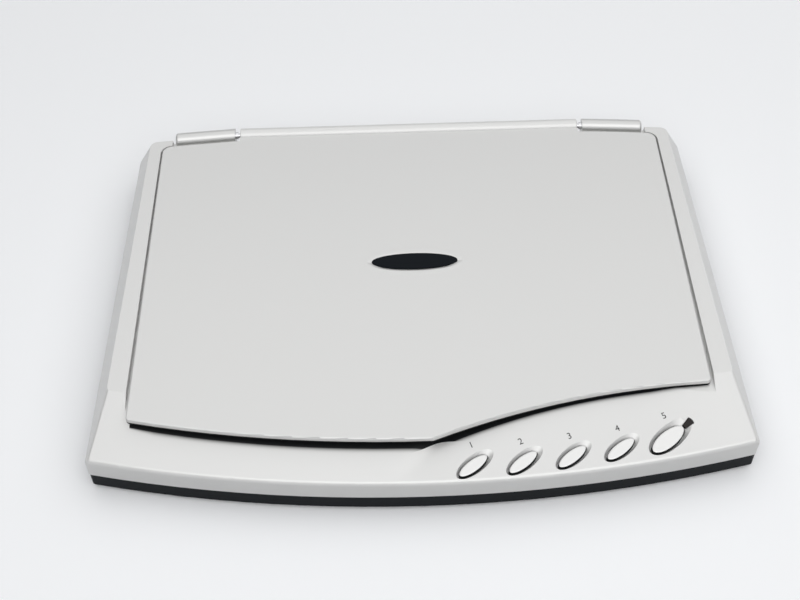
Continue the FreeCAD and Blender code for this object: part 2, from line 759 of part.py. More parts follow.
def top_housing():
    outer = leaned_block("HousingOuter", "0", "split_height", "deck_height")
    faced = cut("HousingFaced", outer, fixed("DeckCutter", deck_cutter(0.0)))
    front = number("front_y")
    edge_z = number("edge_height")
    long = number("half_width")

    def front_edge(edge):
        box_ = edge.BoundBox
        return box_.XLength > long and abs(box_.ZMin - edge_z) < 0.5 and abs(box_.YMin - front) < 0.5

    eased = rounded("HousingEased", faced, "edge_round", front_edge)
    inner = leaned_block("HousingInner", "housing_wall", "split_height - 1", "cavity_top")
    under = fixed("DeckUnderside", deck_cutter(number("housing_wall * sqrt(1 + pod_slope ^ 2)")))
    trough_wall = rod("TroughWall", "hinge_radius + trough_play + housing_wall", "2 * barrel_start",
                      "-barrel_start", "hinge_y", "hinge_z", ALONG_X)
    cavity = cut("HousingCavity", inner, under, trough_wall)
    bosses = group("HousingBosses", *everywhere(
        "Boss", SCREW_SPOTS, lambda name, x, y: rod(name, "boss_radius", "cavity_top + 1 - screw_cup_height",
                                                    x, y, "screw_cup_height")))
    limit = leaned_block("BossLimit", "tray_inner + lap_play", "screw_cup_height", "deck_height")
    trimmed = cut("BossesTrimmed", common("BossesInside", bosses, limit),
                  fixed("BossTop", deck_cutter(number("housing_wall / 2"))))
    seats = [raised(f"HingeSeat{side}", outline(f"HingeSeatSketch{side}", [
        ("hinge_y - hinge_radius - seat_front", "recess_floor"),
        ("hinge_y + seat_back", "recess_floor"),
        ("hinge_y + seat_back", "recess_floor - seat_lip"),
        ("hinge_y", "recess_floor - seat_drop"),
        ("hinge_y - hinge_radius - seat_front", "recess_floor - seat_drop"),
    ]), "barrel_end - barrel_start") for side in ("Left", "Right")]
    for seat, start in zip(seats, ("-barrel_end", "barrel_start")):
        seat.Placement = FreeCAD.Placement(V(), FreeCAD.Rotation(V(1, 1, 1), 120))
        at(seat, start)
    shell = fuse("HousingShell", cut("HousingHollow", eased, cavity), trimmed, *seats)
    recess = raised("LidRecess", outline("LidRecessSketch", [
        ("-(lid_front_half + lid_groove)", "front_y - 5"),
        ("lid_front_half + lid_groove", "front_y - 5"),
        ("lid_back_half + lid_groove", "lid_back_y + lid_groove"),
        ("-(lid_back_half + lid_groove)", "lid_back_y + lid_groove"),
    ]), "deck_height", "0", "0", "recess_floor")
    corner_y = number("lid_back_y")
    recess_soft = rounded("LidRecessSoft", recess, "lid_back_corner + lid_groove",
                          lambda e: e.BoundBox.ZLength > 1 and e.BoundBox.YMin > corner_y)
    tools = [
        recess_soft,
        box("HingeRecess", ("-barrel_end - barrel_round", "barrel_end + barrel_round"),
            ("window_y + window_depth / 2", "body_depth"), ("recess_floor", "deck_height * 2")),
        rod("Trough", "hinge_radius + trough_play", "2 * barrel_start", "-barrel_start", "hinge_y", "hinge_z",
            ALONG_X),
        box("Window", ("window_x - window_width / 2", "window_x + window_width / 2"),
            ("window_y - window_depth / 2", "window_y + window_depth / 2"), ("glass_low", "deck_height")),
        box("GlassPocket", ("glass_left - glass_play", "glass_right + glass_play"),
            ("glass_front - glass_play", "glass_back + glass_play"), ("cavity_top - 1", "glass_top")),
        box("StripPocket", ("home_x - strip_width / 2 - glass_play", "home_x + strip_width / 2 + glass_play"),
            ("glass_front", "glass_back"), ("glass_top - 0.5", "glass_top + strip_thickness + 0.05")),
        box("SocketMouth", ("usb_x - usb_width / 2 - usb_play", "usb_x + usb_width / 2 + usb_play"),
            ("board_back", "body_depth"), ("board_top - usb_play", "board_top + usb_height + usb_play")),
        fixed("LensPocket", lens_solid(0.06, "-lens_plate", "2")),
        panel_round("PipeHole", "pipe_radius + 0.15", "-(housing_wall + 2)", "1", *lens_spot()),
    ]
    tools += everywhere("BossBore", SCREW_SPOTS, lambda name, x, y: rod(
        name, "screw_radius + screw_play", "screw_length", x, y, "screw_cup_height"))
    tools += everywhere("BumperPocket", BUMPER_SPOTS, lambda name, x, y: rod(
        name, "bumper_radius + 0.05", "5", x, y, "recess_floor - bumper_height + lid_gap / 2"))
    for index, label in enumerate(BUTTONS):
        u, v, major, minor, turn = button_spot(index)
        tools.append(slab(f"ButtonHole{index}", f"{major} + button_play", f"{minor} + button_play",
                          "-(housing_wall + 3)", "1", u, v, turn))
        dish = doc.addObject("Part::Loft", f"ButtonDish{index}")
        rim = 1.5
        low = ellipse(f"DishLow{index}", f"{major} + button_play", f"{minor} + button_play")
        high = ellipse(f"DishHigh{index}", f"{major} + button_play + dish_length * {rim}",
                       f"{minor} + button_play + dish_width * {rim}")
        placed(low, panel_place(u, v, "-dish_depth", turn, True))
        placed(high, panel_place(f"{u} + dish_shift_u * {rim}", f"{v} + dish_shift_v * {rim}",
                                 f"-dish_depth + dish_depth * {rim}", turn, True))
        dish.Sections = [low, high]
        dish.Solid = True
        dish.Ruled = True
        tools.append(dish)
    node(cut("TopHousing", shell, *tools), "top_housing")


BUMPER_SPOTS = [("-bumper_x", "bumper_y"), ("bumper_x", "bumper_y")]


# Tray

def base_tray():
    outer = raised("TrayOuter", low_outline("TrayOutline", "tray_inset", "foot_height"),
                   "split_height - foot_height")
    floor_z = number("foot_height")
    eased = rounded("TrayEased", outer, "tray_edge",
                    lambda e: e.BoundBox.ZMax < floor_z + 0.01, "Part::Chamfer")
    lap = raised("TrayLap", low_outline("LapOutline", "lap_inset", "split_height - 1"), "1 + lap_height")
    hollow = raised("TrayHollow", low_outline("HollowOutline", "tray_inner", "floor_top"), "deck_height")
    walls = cut("TrayWalls", fuse("TrayBlock", eased, lap), hollow,
                box("SocketNotch", ("usb_x - usb_width / 2 - 1", "usb_x + usb_width / 2 + 1"),
                    ("board_back", "body_depth"), ("split_height", "deck_height")),
                box("PanelNotch", ("0", "pod_end + 6"), ("front_y - 1", "front_y + panel_room"),
                    ("split_height", "deck_height")))
    cups = everywhere("Cup", SCREW_SPOTS, lambda name, x, y: rod(
        name, "screw_cup", "screw_cup_height - foot_height", x, y, "foot_height"))
    kept = common("CupsKept", group("Cups", *cups),
                  raised("CupLimit", low_outline("CupOutline", "tray_inset + 0.5", "foot_height"), "deck_height"))
    rail = box("Rail", ("rod_left", "board_left - 1"), ("rail_y - rail_width / 2", "rail_y + rail_width / 2"),
               ("foot_height + 0.5", "floor_top + rail_height"))
    posts = [box(f"RodPost{i}", (x, f"{x} + post_length"), ("rod_y - post_half", "rod_y + post_half"),
                 ("foot_height + 0.5", "rod_z")) for i, x in enumerate(("rod_left", "rod_right - post_length"))]
    stands = everywhere("Standoff", STANDOFFS, lambda name, x, y: rod(
        name, "standoff_radius", "board_z - foot_height - 0.5", x, y, "foot_height + 0.5"))
    panel_posts = [rod(f"PanelPost{i}", "standoff_radius", "split_height + 4", x, y, "foot_height + 0.5")
                   for i, (x, y) in enumerate(PANEL_POSTS)]
    under_board = panel_box("UnderPanelBoard", "body_width", "body_width", f"({PANEL_BOARD_LOW}) - 0.02",
                            f"({PANEL_BOARD_LOW}) + 30", "0", "0")
    low_posts = cut("PanelPosts", group("PanelPostGroup", *panel_posts), under_board)
    body = fuse("TrayBody", walls, kept, rail, *posts, *stands, low_posts)
    tools = [rod("RodCradle", "rod_radius", "body_width", "-body_width / 2", "rod_y", "rod_z", ALONG_X)]
    tools += everywhere("Counterbore", SCREW_SPOTS, lambda name, x, y: rod(
        name, "screw_head + 0.2", "screw_cup_height - 2 * screw_play - screw_seat", x, y, "0"))
    tools += everywhere("ScrewHole", SCREW_SPOTS, lambda name, x, y: rod(
        name, "screw_radius + 0.2", "screw_cup_height", x, y, "1"))
    tools += everywhere("FootPocket", FOOT_SPOTS, lambda name, x, y: rod(
        name, "foot_radius + 0.05", "foot_sink", x, y, "foot_height"))
    node(cut("BaseTray", body, *tools), "base_tray")


STANDOFFS = [
    ("board_left + standoff_inset", "board_front + standoff_inset"),
    ("board_left + board_width - standoff_inset", "board_front + standoff_inset"),
    ("board_left + standoff_inset", "board_back - usb_length - 2 * standoff_inset"),
    ("board_left + board_width - standoff_inset", "board_back - usb_length - 2 * standoff_inset"),
]
FOOT_SPOTS = [("-foot_x", "foot_front_y"), ("foot_x", "foot_front_y"), ("-foot_x", "foot_back_y"),
              ("foot_x", "foot_back_y")]
PANEL_POSTS = [
    ("panel_x - panel_post_left", "front_y + post_left_setback"),
    ("panel_x", "front_y + post_middle_setback"),
    ("panel_x + panel_post_right", "front_y + post_right_setback"),
]


def feet_and_screws():
    feet = [rounded(f"FootSoft{i}", rod(f"Foot{i}", "foot_radius", "foot_height + foot_sink", x, y), "foot_round",
                    lambda e: e.BoundBox.ZMax < 0.01) for i, (x, y) in enumerate(FOOT_SPOTS)]
    node(group("Feet", *feet), "rubber_feet")
    head_low = "screw_cup_height - 2 * screw_play - screw_seat - screw_head_height"
    screws = []
    for i, (x, y) in enumerate(SCREW_SPOTS):
        head = rod(f"ScrewHead{i}", "screw_head", "screw_head_height", x, y, head_low)
        shank = rod(f"ScrewShank{i}", "screw_radius", "screw_length", x, y, head_low)
        slot = box(f"ScrewSlot{i}", (f"{x} - screw_head", f"{x} + screw_head"), (f"{y} - 0.3", f"{y} + 0.3"),
                   ("0", f"{head_low} + 0.6"))
        screws.append(cut(f"Screw{i}", fuse(f"ScrewSolid{i}", head, shank), slot))
    node(group("Screws", *screws), "case_screws")


# Window glass and calibration strip

def glass():
    plate = box("Glass", ("glass_left", "glass_right"), ("glass_front", "glass_back"), ("glass_low", "glass_top"))
    node(rounded("GlassEased", plate, "glass_edge", lambda e: e.BoundBox.ZLength < 0.01, "Part::Chamfer"),
         "platen_glass")
    node(box("Strip", ("home_x - strip_width / 2", "home_x + strip_width / 2"),
             ("glass_front + glass_lap / 2", "glass_back - glass_lap / 2"),
             ("glass_top", "glass_top + strip_thickness")), "calibration_strip")


# Hinge

def hinge():
    arc_radius = number("sqrt(barrel_start ^ 2 + (hinge_y - back_axis) ^ 2)")
    first = math.asin(number("barrel_start") / arc_radius)
    last = math.asin(number("barrel_end") / arc_radius)
    for side, sign in (("left", -1), ("right", 1)):
        ring = doc.addObject("Part::Torus", "Barrel" + side)
        bind(ring, Radius1="sqrt(barrel_start ^ 2 + (hinge_y - back_axis) ^ 2)", Radius2="hinge_radius")
        middle = 90 - sign * math.degrees((first + last) / 2)
        ring.Angle3 = math.degrees(last - first) + 1
        ring.Placement = FreeCAD.Placement(V(), FreeCAD.Rotation(V(0, 0, 1), middle - ring.Angle3.Value / 2))
        at(ring, "0", "back_axis", "hinge_z")
        low, high = ("-barrel_end", "-barrel_start") if sign < 0 else ("barrel_start", "barrel_end")
        span = box("BarrelSpan" + side, (low, high), ("hinge_y - 2 * hinge_radius", "hinge_y + 2 * hinge_radius"),
                   ("recess_floor", "recess_floor + 20"))
        trimmed = common("BarrelTrim" + side, ring, span)
        outer_x = sign * number("barrel_end")
        soft = rounded("BarrelSoft" + side, trimmed, "barrel_round",
                       lambda e: abs(e.BoundBox.XMin - outer_x) < 0.01 and e.BoundBox.XLength < 0.01
                       and e.BoundBox.ZLength > 0.5)
        bore_start = "-barrel_start - pin_grip" if sign < 0 else "barrel_start - 1"
        bore = rod("BarrelBore" + side, "pin_radius", "pin_grip + 1", bore_start, "hinge_y", "hinge_z", ALONG_X)
        node(cut("Barrel" + side + "Cut", soft, bore), side + "_hinge_barrel")
        pin_start = "-barrel_start - pin_grip" if sign < 0 else "bar_half - pin_grip"
        shaft = rod("Pin" + side, "pin_radius", "2 * pin_grip + neck_length", pin_start, "hinge_y", "hinge_z", ALONG_X)
        collar_start = "-barrel_start" if sign < 0 else "bar_half + neck_length - neck_length * 0.6"
        collar = rod("Collar" + side, "collar_radius", "neck_length * 0.6", collar_start, "hinge_y", "hinge_z",
                     ALONG_X)
        node(fuse("Pin" + side + "Whole", shaft, collar), side + "_hinge_pin")
    bar = rod("Bar", "hinge_radius", "2 * bar_half", "-bar_half", "hinge_y", "hinge_z", ALONG_X)
    bar_end = number("bar_half")
    soft = rounded("BarSoft", bar, "bar_round", lambda e: abs(abs(e.BoundBox.Center.x) - bar_end) < 0.01)
    bores = [rod(f"BarBore{i}", "pin_radius + pin_play", "pin_grip + 1.5", x, "hinge_y", "hinge_z", ALONG_X)
             for i, x in enumerate(("-bar_half - 1", "bar_half - pin_grip - 0.5"))]
    node(cut("BarBored", soft, *bores), "hinge_bar")


# Cover

def lid_plan(name):
    """The cover from above: bowed lip, notch over the buttons, flared sides, bowed back."""
    return outline(name, [
        ("-lid_front_half", "lip_left_y"),
        ("kink_x", "kink_y"),
        ("lid_front_half", "notch_end_y"),
        ("lid_back_half", "lid_back_y"),
        ("-lid_back_half", "lid_back_y"),
    ], {0: ("lip_radius", 1), 1: ("notch_radius", -1), 3: ("tail_radius", 1)})


def lid_solid(name, inset, low, high):
    """A slice of the cover's form, drawn in by an inset."""
    flat = lid_plan(name + "Plan")
    if inset != "0":
        drawn = doc.addObject("Part::Offset2D", name + "Offset")
        drawn.Source = flat
        drawn.Join = 2
        bind(drawn, Value=f"-({inset})")
        flat = drawn
    return raised(name, flat, f"({high}) - ({low})", "0", "0", low)


def badge_flat(half, rise, height):
    """A pointed oval between two equal arcs, as a wire at a height."""
    long, wide, y, z = (number(s) for s in (half, rise, "badge_y", height))
    left, right = V(-long, y, z), V(long, y, z)
    edges = [Part.Arc(left, V(0, y + wide, z), right), Part.Arc(right, V(0, y - wide, z), left)]
    return Part.Wire([edge.toShape() for edge in edges])


def badge_plate(name, half, rise, low, high):
    """A solid of the badge's form between two heights."""
    flat = Part.Face(badge_flat(half, rise, low))
    return fixed(name, flat.extrude(V(0, 0, number(f"({high}) - ({low})"))))


def cover():
    plate = lid_solid("LidPlate", "0", "lid_low", "deck_height")
    back_y, front_half = number("lid_back_y"), number("lid_front_half")
    back_soft = rounded("LidBackSoft", plate, "lid_back_corner",
                        lambda e: e.BoundBox.ZLength > 1 and e.BoundBox.YMin > back_y - 0.1)
    front_soft = rounded("LidFrontSoft", back_soft, "lid_front_corner",
                         lambda e: e.BoundBox.ZLength > 1 and e.BoundBox.XLength < 0.01
                         and abs(abs(e.BoundBox.Center.x) - front_half) < 0.05)
    top_z = number("deck_height")
    soft = rounded("LidEased", front_soft, "lid_edge_round",
                   lambda e: e.BoundBox.ZMin > top_z - 0.01)
    tab = box("LidTab", ("-bar_half", "bar_half"), ("window_y + window_depth / 2", "hinge_y"),
              ("lid_low", "deck_height"))
    bar_space = rod("BarSpace", "hinge_radius", "2 * bar_half + 2", "-bar_half - 1", "hinge_y", "hinge_z", ALONG_X)
    joined = cut("LidJoined", fuse("LidWithTab", soft, tab), bar_space)
    pocket = common("LidPocket",
                    lid_solid("PocketForm", "lid_rim", "lid_low - 1", "deck_height - lid_skin"),
                    box("PocketLimit", ("-body_width", "body_width"), ("-body_depth", "hinge_y - hinge_radius - 4"),
                        ("lid_low - 1", "deck_height - lid_skin")))
    seat = badge_plate("BadgeSeat", "badge_half + 1.6 * badge_play", "badge_rise + badge_play",
                       "deck_height - badge_depth", "deck_height + 2")
    dish = doc.addObject("Part::Loft", "BadgeDish")
    dish.Sections = [
        fixed("BadgeDishLow", badge_flat("badge_half", "badge_rise", "deck_height - badge_dish_depth")),
        fixed("BadgeDishHigh", badge_flat("badge_half + 2 * badge_dish_long", "badge_rise + 2 * badge_dish_wide",
                                          "deck_height + badge_dish_depth")),
    ]
    dish.Solid = True
    dish.Ruled = True
    node(cut("LidShell", joined, pocket, seat, dish), "lid_shell")
    badge = badge_plate("BadgePlate", "badge_half", "badge_rise", "deck_height - badge_depth",
                        "deck_height - badge_depth + badge_thickness")
    badge_top = number("deck_height - badge_depth + badge_thickness")
    node(rounded("Badge", badge, "badge_round", lambda e: e.BoundBox.ZMin > badge_top - 0.01), "lid_badge")
    liner = common("LinerForm",
                   lid_solid("LinerPlan", "lid_rim + liner_play", "deck_height - lid_skin - liner_thickness",
                             "deck_height - lid_skin"),
                   box("LinerLimit", ("-body_width", "body_width"),
                       ("-body_depth", "hinge_y - hinge_radius - 4 - liner_play"), ("0", "deck_height")))
    node(liner, "lid_liner")
    pad_top = "deck_height - lid_skin - liner_thickness"
    pad = box("Pad", ("window_x - window_width / 2 + pad_play", "window_x + window_width / 2 - pad_play"),
              ("window_y - window_depth / 2 + pad_play", "window_y + window_depth / 2 - pad_play"),
              (f"{pad_top} - pad_thickness", pad_top))
    node(rounded("PadSoft", pad, "pad_corner", lambda e: e.BoundBox.ZLength > 0.5), "lid_pad")
    bumpers = everywhere("Bumper", BUMPER_SPOTS, lambda name, x, y: rod(
        name, "bumper_radius", "bumper_height", x, y, "recess_floor - bumper_height + lid_gap / 2"))
    node(group("Bumpers", *bumpers), "lid_bumpers")


# Buttons and their switches

def buttons():
    switches = []
    for index, label in enumerate(BUTTONS):
        u, v, major, minor, turn = button_spot(index)
        cap = slab(f"Cap{index}", major, minor, "-button_depth", "button_proud", u, v, turn)
        top = panel_place(u, v, "button_proud", follow=True).Base
        soft = rounded(f"CapSoft{index}", cap, "button_round", lambda e: (e.CenterOfMass - top).Length < 0.3)
        full = slab(f"FlangeFull{index}", f"{major} + flange_width", f"{minor} + flange_width",
                    "-button_depth", "-button_depth + flange_thickness", u, v, turn)
        flange = common(f"Flange{index}", full, raised(
            f"FlangeLimit{index}", low_outline(f"FlangeOutline{index}", "housing_wall + 0.3", "0"), "deck_height"))
        stem = panel_round(f"Stem{index}", "stem_radius", "-button_depth - stem_length",
                           "-button_depth + 0.3", u, v)
        node(fuse(f"Button{index}", soft, flange, stem), label)
        plunger_top = "-button_depth - stem_length"
        plunger_low = f"({SWITCH_TOP}) - switch_height / 2 + button_travel"
        node(panel_round(f"Plunger{index}", "plunger_radius", plunger_low, plunger_top, u, v),
             f"switch_plunger_{index + 1}")
        case = panel_box(f"SwitchCase{index}", "switch_side / 2", "switch_side / 2", SWITCH_LOW, SWITCH_TOP, u, v)
        well = panel_round(f"SwitchWell{index}", "plunger_radius + plunger_play",
                           f"({plunger_low}) - button_travel - 0.2", f"({SWITCH_TOP}) + 1", u, v)
        switches.append(cut(f"Switch{index}", case, well))
    node(group("Switches", *switches), "tact_switches")
    reach_u = f"{2} * button_pitch + switch_side / 2"
    board = outline("PanelBoardSketch", [
        (f"-({reach_u}) - 1.5", "-switch_side / 2 - 0.1"),
        (f"{reach_u} - 1", "-switch_side / 2 - 0.1"),
        (f"{reach_u} + 7.5", "5.4"),
        (f"{reach_u} + 7.5", "13.5"),
        (f"-({reach_u}) - 1.5", "13.5"),
    ])
    plate = doc.addObject("Part::Extrusion", "PanelBoardPlate")
    plate.Base = board
    plate.DirMode = "Normal"
    plate.Solid = True
    bind(plate, LengthFwd="panel_board")
    node(placed(plate, panel_place("0", "0", PANEL_BOARD_LOW)), "button_board")
    lens_u, lens_v = lens_spot()
    led_top = f"({SWITCH_LOW}) + led_height"
    pipe = panel_round("LightPipe", "pipe_radius", f"({led_top}) + 0.2", "-lens_plate + 0.1", lens_u, lens_v)
    face = fixed("LensFace", lens_solid(0.0, "-lens_plate", "0.02"))
    node(fuse("StatusLens", face, pipe), "status_lens")
    node(panel_box("StatusLed", "led_side / 2", "led_side / 2", SWITCH_LOW, led_top, lens_u, lens_v), "status_led")


# Toothed wheels

def toothed(teeth, pitch, module, phase, thin):
    """A flat gear outline with straight flanks; the first tooth points along phase."""
    tip, root = pitch + 0.95 * module, pitch - 1.2 * module
    slope = math.tan(math.radians(20))
    points = []
    for k in range(teeth):
        centre = phase + 2 * math.pi * k / teeth
        for radius, side in ((root, -1), (tip, -1), (tip, 1), (root, 1)):
            half = math.pi * module / 4 - thin / 2 - (radius - pitch) * slope
            half = min(half, radius * math.pi / teeth * 0.92)
            angle = centre + side * half / radius
            points.append(V(radius * math.cos(angle), radius * math.sin(angle), 0))
    return Part.Face(Part.makePolygon(points + points[:1]))


def toothed_wheel(name, teeth, pitch, module, phase, width, x, front, z):
    """A gear solid with its axis along Y, from its front face back."""
    face = toothed(int(round(number(teeth))), number(pitch), module, phase, number("gear_backlash"))
    solid = fixed(name, face.extrude(V(0, 0, number(width))))
    return at(solid, x, f"({front}) + ({width})", z, UPRIGHT)


def along_y(name, radius, front, back, x, z):
    """A cylinder along Y between two places."""
    return rod(name, radius, f"({back}) - ({front})", x, front, z, ALONG_Y)


def pulley(name, x):
    """A toothed belt pulley between two flanges."""
    module = 2 * number("belt_inner - 0.05") / (number("pulley_teeth") + 1.9)
    core = toothed_wheel(name + "Teeth", "pulley_teeth", f"{module} * pulley_teeth / 2", module, 0.0,
                         "pulley_width", x, "pulley_front", "pulley_z")
    front = along_y(name + "Front", "pulley_pitch + flange_rise", "pulley_front - flange_plate", "pulley_front",
                    x, "pulley_z")
    back = along_y(name + "Back", "pulley_pitch + flange_rise", "pulley_back", "pulley_back + flange_plate",
                   x, "pulley_z")
    return [core, front, back]


def flange_room(name, x):
    """Clearance for a pulley's flanges in its bracket."""
    return along_y(name, "pulley_pitch + flange_rise + side_play", "pulley_front - flange_plate - side_play / 2",
                   "pulley_back + flange_plate + side_play / 2", x, "pulley_z")


def drive():
    toward = math.atan2(number("motor_rise"), number("motor_x - drive_x"))
    module = number("gear_module")
    gear = toothed_wheel("Gear", "gear_teeth", "gear_pitch", module, toward, "gear_width",
                         "drive_x", "gear_front", "pulley_z")
    hub = along_y("GearHub", "pinion_pitch + 0.8", "gear_back - 0.1", "pulley_front", "drive_x", "pulley_z")
    bore = along_y("GearBore", "axle_radius + axle_play", "gear_front - 1", "pulley_back + 2", "drive_x", "pulley_z")
    node(cut("DriveWheel", fuse("DriveWheelSolid", gear, hub, *pulley("DrivePulley", "drive_x")), bore),
         "drive_gear")
    gap_phase = toward + math.pi + math.pi / number("pinion_teeth")
    pinion = toothed_wheel("Pinion", "pinion_teeth", "pinion_pitch", module, gap_phase, "gear_width",
                           "motor_x", "gear_front", "motor_z")
    pinion_bore = along_y("PinionBore", "shaft_radius", "gear_front - 1", "gear_back + 1", "motor_x", "motor_z")
    node(cut("PinionCut", pinion, pinion_bore), "motor_pinion")
    motor_front = "bracket_back + bracket_wall"
    node(along_y("Shaft", "shaft_radius", "gear_front", f"{motor_front} + 2", "motor_x", "motor_z"), "motor_shaft")
    can = along_y("MotorCan", "motor_radius", motor_front, f"{motor_front} + motor_length", "motor_x", "motor_z")
    can_back = number(f"{motor_front} + motor_length")
    soft = rounded("MotorSoft", can, "motor_round", lambda e: e.BoundBox.YMin > can_back - 0.01)
    well = along_y("MotorWell", "shaft_radius + axle_play", f"{motor_front} - 1", f"{motor_front} + 2.3",
                   "motor_x", "motor_z")
    node(cut("Motor", soft, well), "stepper_motor")
    left = "motor_x - motor_radius - 0.5"
    right = "drive_x + gear_pitch + 2"
    high = "pulley_z + gear_pitch - 0.5"
    walls = [
        box("BracketFoot", (left, right), ("bracket_front", "bracket_back + bracket_wall"),
            ("floor_top", "floor_top + bracket_base")),
        box("BracketFront", (left, right), ("bracket_front", "bracket_front + bracket_wall"), ("floor_top", high)),
        box("BracketBack", (left, right), ("bracket_back", "bracket_back + bracket_wall"), ("floor_top", high)),
    ]
    holes = [
        along_y("BracketBore", "axle_radius", "bracket_front - 1", "bracket_back + bracket_wall + 1",
                "drive_x", "pulley_z"),
        along_y("ShaftHole", "shaft_radius + 0.6", "bracket_back - 1", "bracket_back + bracket_wall + 1",
                "motor_x", "motor_z"),
        along_y("GearRoom", "gear_pitch + gear_module + 0.4", "gear_front - side_play / 2", "gear_back + side_play",
                "drive_x", "pulley_z"),
        flange_room("DriveRoom", "drive_x"),
    ]
    node(cut("DriveBracket", fuse("DriveBracketSolid", *walls), *holes), "drive_bracket")
    node(along_y("GearAxle", "axle_radius", "bracket_front", "bracket_back + bracket_wall", "drive_x", "pulley_z"),
         "gear_axle")


def idler():
    bore = along_y("IdlerBore", "axle_radius + axle_play", "pulley_front - 2", "pulley_back + 2",
                   "idler_x", "pulley_z")
    node(cut("Idler", fuse("IdlerSolid", *pulley("IdlerPulley", "idler_x")), bore), "idler_pulley")
    front = "pulley_front - flange_plate - side_play - bracket_wall"
    back = "pulley_back + flange_plate + side_play + bracket_wall"
    left, right = "idler_x - 4", "idler_x + 4"
    solid = fuse(
        "IdlerBracketSolid",
        box("IdlerFoot", (left, "idler_x + 8"), (front, back), ("floor_top", "floor_top + bracket_base")),
        box("IdlerFront", (left, right), (front, f"{front} + bracket_wall"), ("floor_top", "pulley_z + 2.5")),
        box("IdlerBack", (left, right), (f"{back} - bracket_wall", back), ("floor_top", "pulley_z + 2.5")))
    hole = along_y("IdlerAxleHole", "axle_radius", f"{front} - 1", f"{back} + 1", "idler_x", "pulley_z")
    node(cut("IdlerBracket", solid, hole, flange_room("IdlerRoom", "idler_x")), "idler_bracket")
    node(along_y("IdlerAxle", "axle_radius", front, back, "idler_x", "pulley_z"), "idler_axle")


def belt():
    """The timing belt as a loop about both pulleys."""
    def loop(radius):
        left, right = number("drive_x"), number("idler_x")
        edges = [
            Part.LineSegment(V(left, -radius, 0), V(right, -radius, 0)),
            Part.Arc(V(right, -radius, 0), V(right + radius, 0, 0), V(right, radius, 0)),
            Part.LineSegment(V(right, radius, 0), V(left, radius, 0)),
            Part.Arc(V(left, radius, 0), V(left - radius, 0, 0), V(left, -radius, 0)),
        ]
        return Part.Face(Part.Wire([edge.toShape() for edge in edges]))
    ring = loop(number("belt_outer")).cut(loop(number("belt_inner")))
    solid = fixed("Belt", ring.extrude(V(0, 0, number("belt_width"))))
    node(at(solid, "0", "belt_back", "pulley_z", UPRIGHT), "timing_belt")


# Guide rod, clips and carriage

def guide():
    bar = rod("Rod", "rod_radius", "rod_right - rod_left", "rod_left", "rod_y", "rod_z", ALONG_X)
    node(rounded("RodEased", bar, "rod_edge", lambda e: e.BoundBox.XLength < 0.01, "Part::Chamfer"), "guide_rod")
    clips = []
    for i, x in enumerate(("rod_left", "rod_right - post_length")):
        block = box(f"Clip{i}", (x, f"{x} + post_length"), ("rod_y - post_half", "rod_y + post_half"),
                    ("rod_z", "rod_z + clip_height"))
        clips.append(cut(f"ClipCut{i}", block, rod(f"ClipBore{i}", "rod_radius", "post_length + 2", f"{x} - 1",
                                                   "rod_y", "rod_z", ALONG_X)))
    node(group("Clips", *clips), "rod_clips")


def carriage():
    home = "home_x"
    inner = "frame_half - frame_wall"
    high = ("frame_low", "frame_high")
    tub = cut("FrameTub",
              box("FrameBlock", (f"{home} - frame_half", f"{home} + frame_half"), ("frame_front", "frame_back"), high),
              box("FrameRoom", (f"{home} - ({inner})", f"{home} + ({inner})"),
                  ("frame_front + frame_wall", "frame_back - frame_wall"),
                  ("frame_low + frame_floor", "frame_high + 1")))
    shoe = box("Shoe", (f"{home} - frame_half", f"{home} + frame_half"),
               ("frame_back - 0.5", "rail_y + rail_width / 2 - 3 * rail_play"),
               ("floor_top + rail_height + rail_play", "frame_low + 3"))
    sleeve = rod("Sleeve", "sleeve_radius", "sleeve_length", f"{home} - sleeve_length / 2", "rod_y", "rod_z", ALONG_X)
    web = box("SleeveWeb", (f"{home} - frame_half", f"{home} + frame_half"), ("rod_y", "frame_front + 0.5"),
              ("frame_low", "rod_z + 3"))
    arm = box("BeltArm", (f"{home} - clamp_length / 2", f"{home} + clamp_length / 2"),
              ("belt_front - 0.6", "rod_y - rod_radius - 1"),
              ("rod_z + 2.2", "pulley_z + belt_inner"))
    solid = fuse("FrameSolid", tub, shoe, sleeve, web, arm)
    tools = [
        rod("SleeveBore", "rod_radius + 0.3", "sleeve_length + 2", f"{home} - sleeve_length / 2 - 1",
            "rod_y", "rod_z", ALONG_X),
        box("RibbonSlot", (f"{home} - frame_half - 1", home), ("ribbon_y - ribbon_width / 2 - 1",
            "ribbon_y + ribbon_width / 2 + 1"), ("frame_low + frame_floor", "bar_low")),
    ]
    bush_ends = (f"{home} - sleeve_length / 2", f"{home} + sleeve_length / 2 - bush_length")
    tools += [rod(f"BushSeat{i}", "bush_radius", "bush_length + 0.01", x, "rod_y", "rod_z", ALONG_X)
              for i, x in enumerate(bush_ends)]
    node(cut("CarriageFrame", solid, *tools), "carriage_frame")
    bushes = []
    for i, x in enumerate(bush_ends):
        ring = rod(f"Bush{i}", "bush_radius", "bush_length", x, "rod_y", "rod_z", ALONG_X)
        bore = rod(f"BushBore{i}", "rod_radius + bush_play", "bush_length + 2", f"{x} - 1", "rod_y", "rod_z", ALONG_X)
        bushes.append(cut(f"BushCut{i}", ring, bore))
    node(group("Bushes", *bushes), "rod_bushes")
    clamp_low = "pulley_z + belt_outer"
    plate = box("ClampPlate", (f"{home} - clamp_length / 2", f"{home} + clamp_length / 2"),
                ("belt_front - 0.6", "belt_back + 0.6"), (clamp_low, f"{clamp_low} + clamp_plate"))
    node(rounded("Clamp", plate, "clamp_round", lambda e: e.BoundBox.ZLength < 0.01 and
                 e.BoundBox.ZMin > number(clamp_low) + 0.5), "belt_clamp")
    sensor_bar(home)


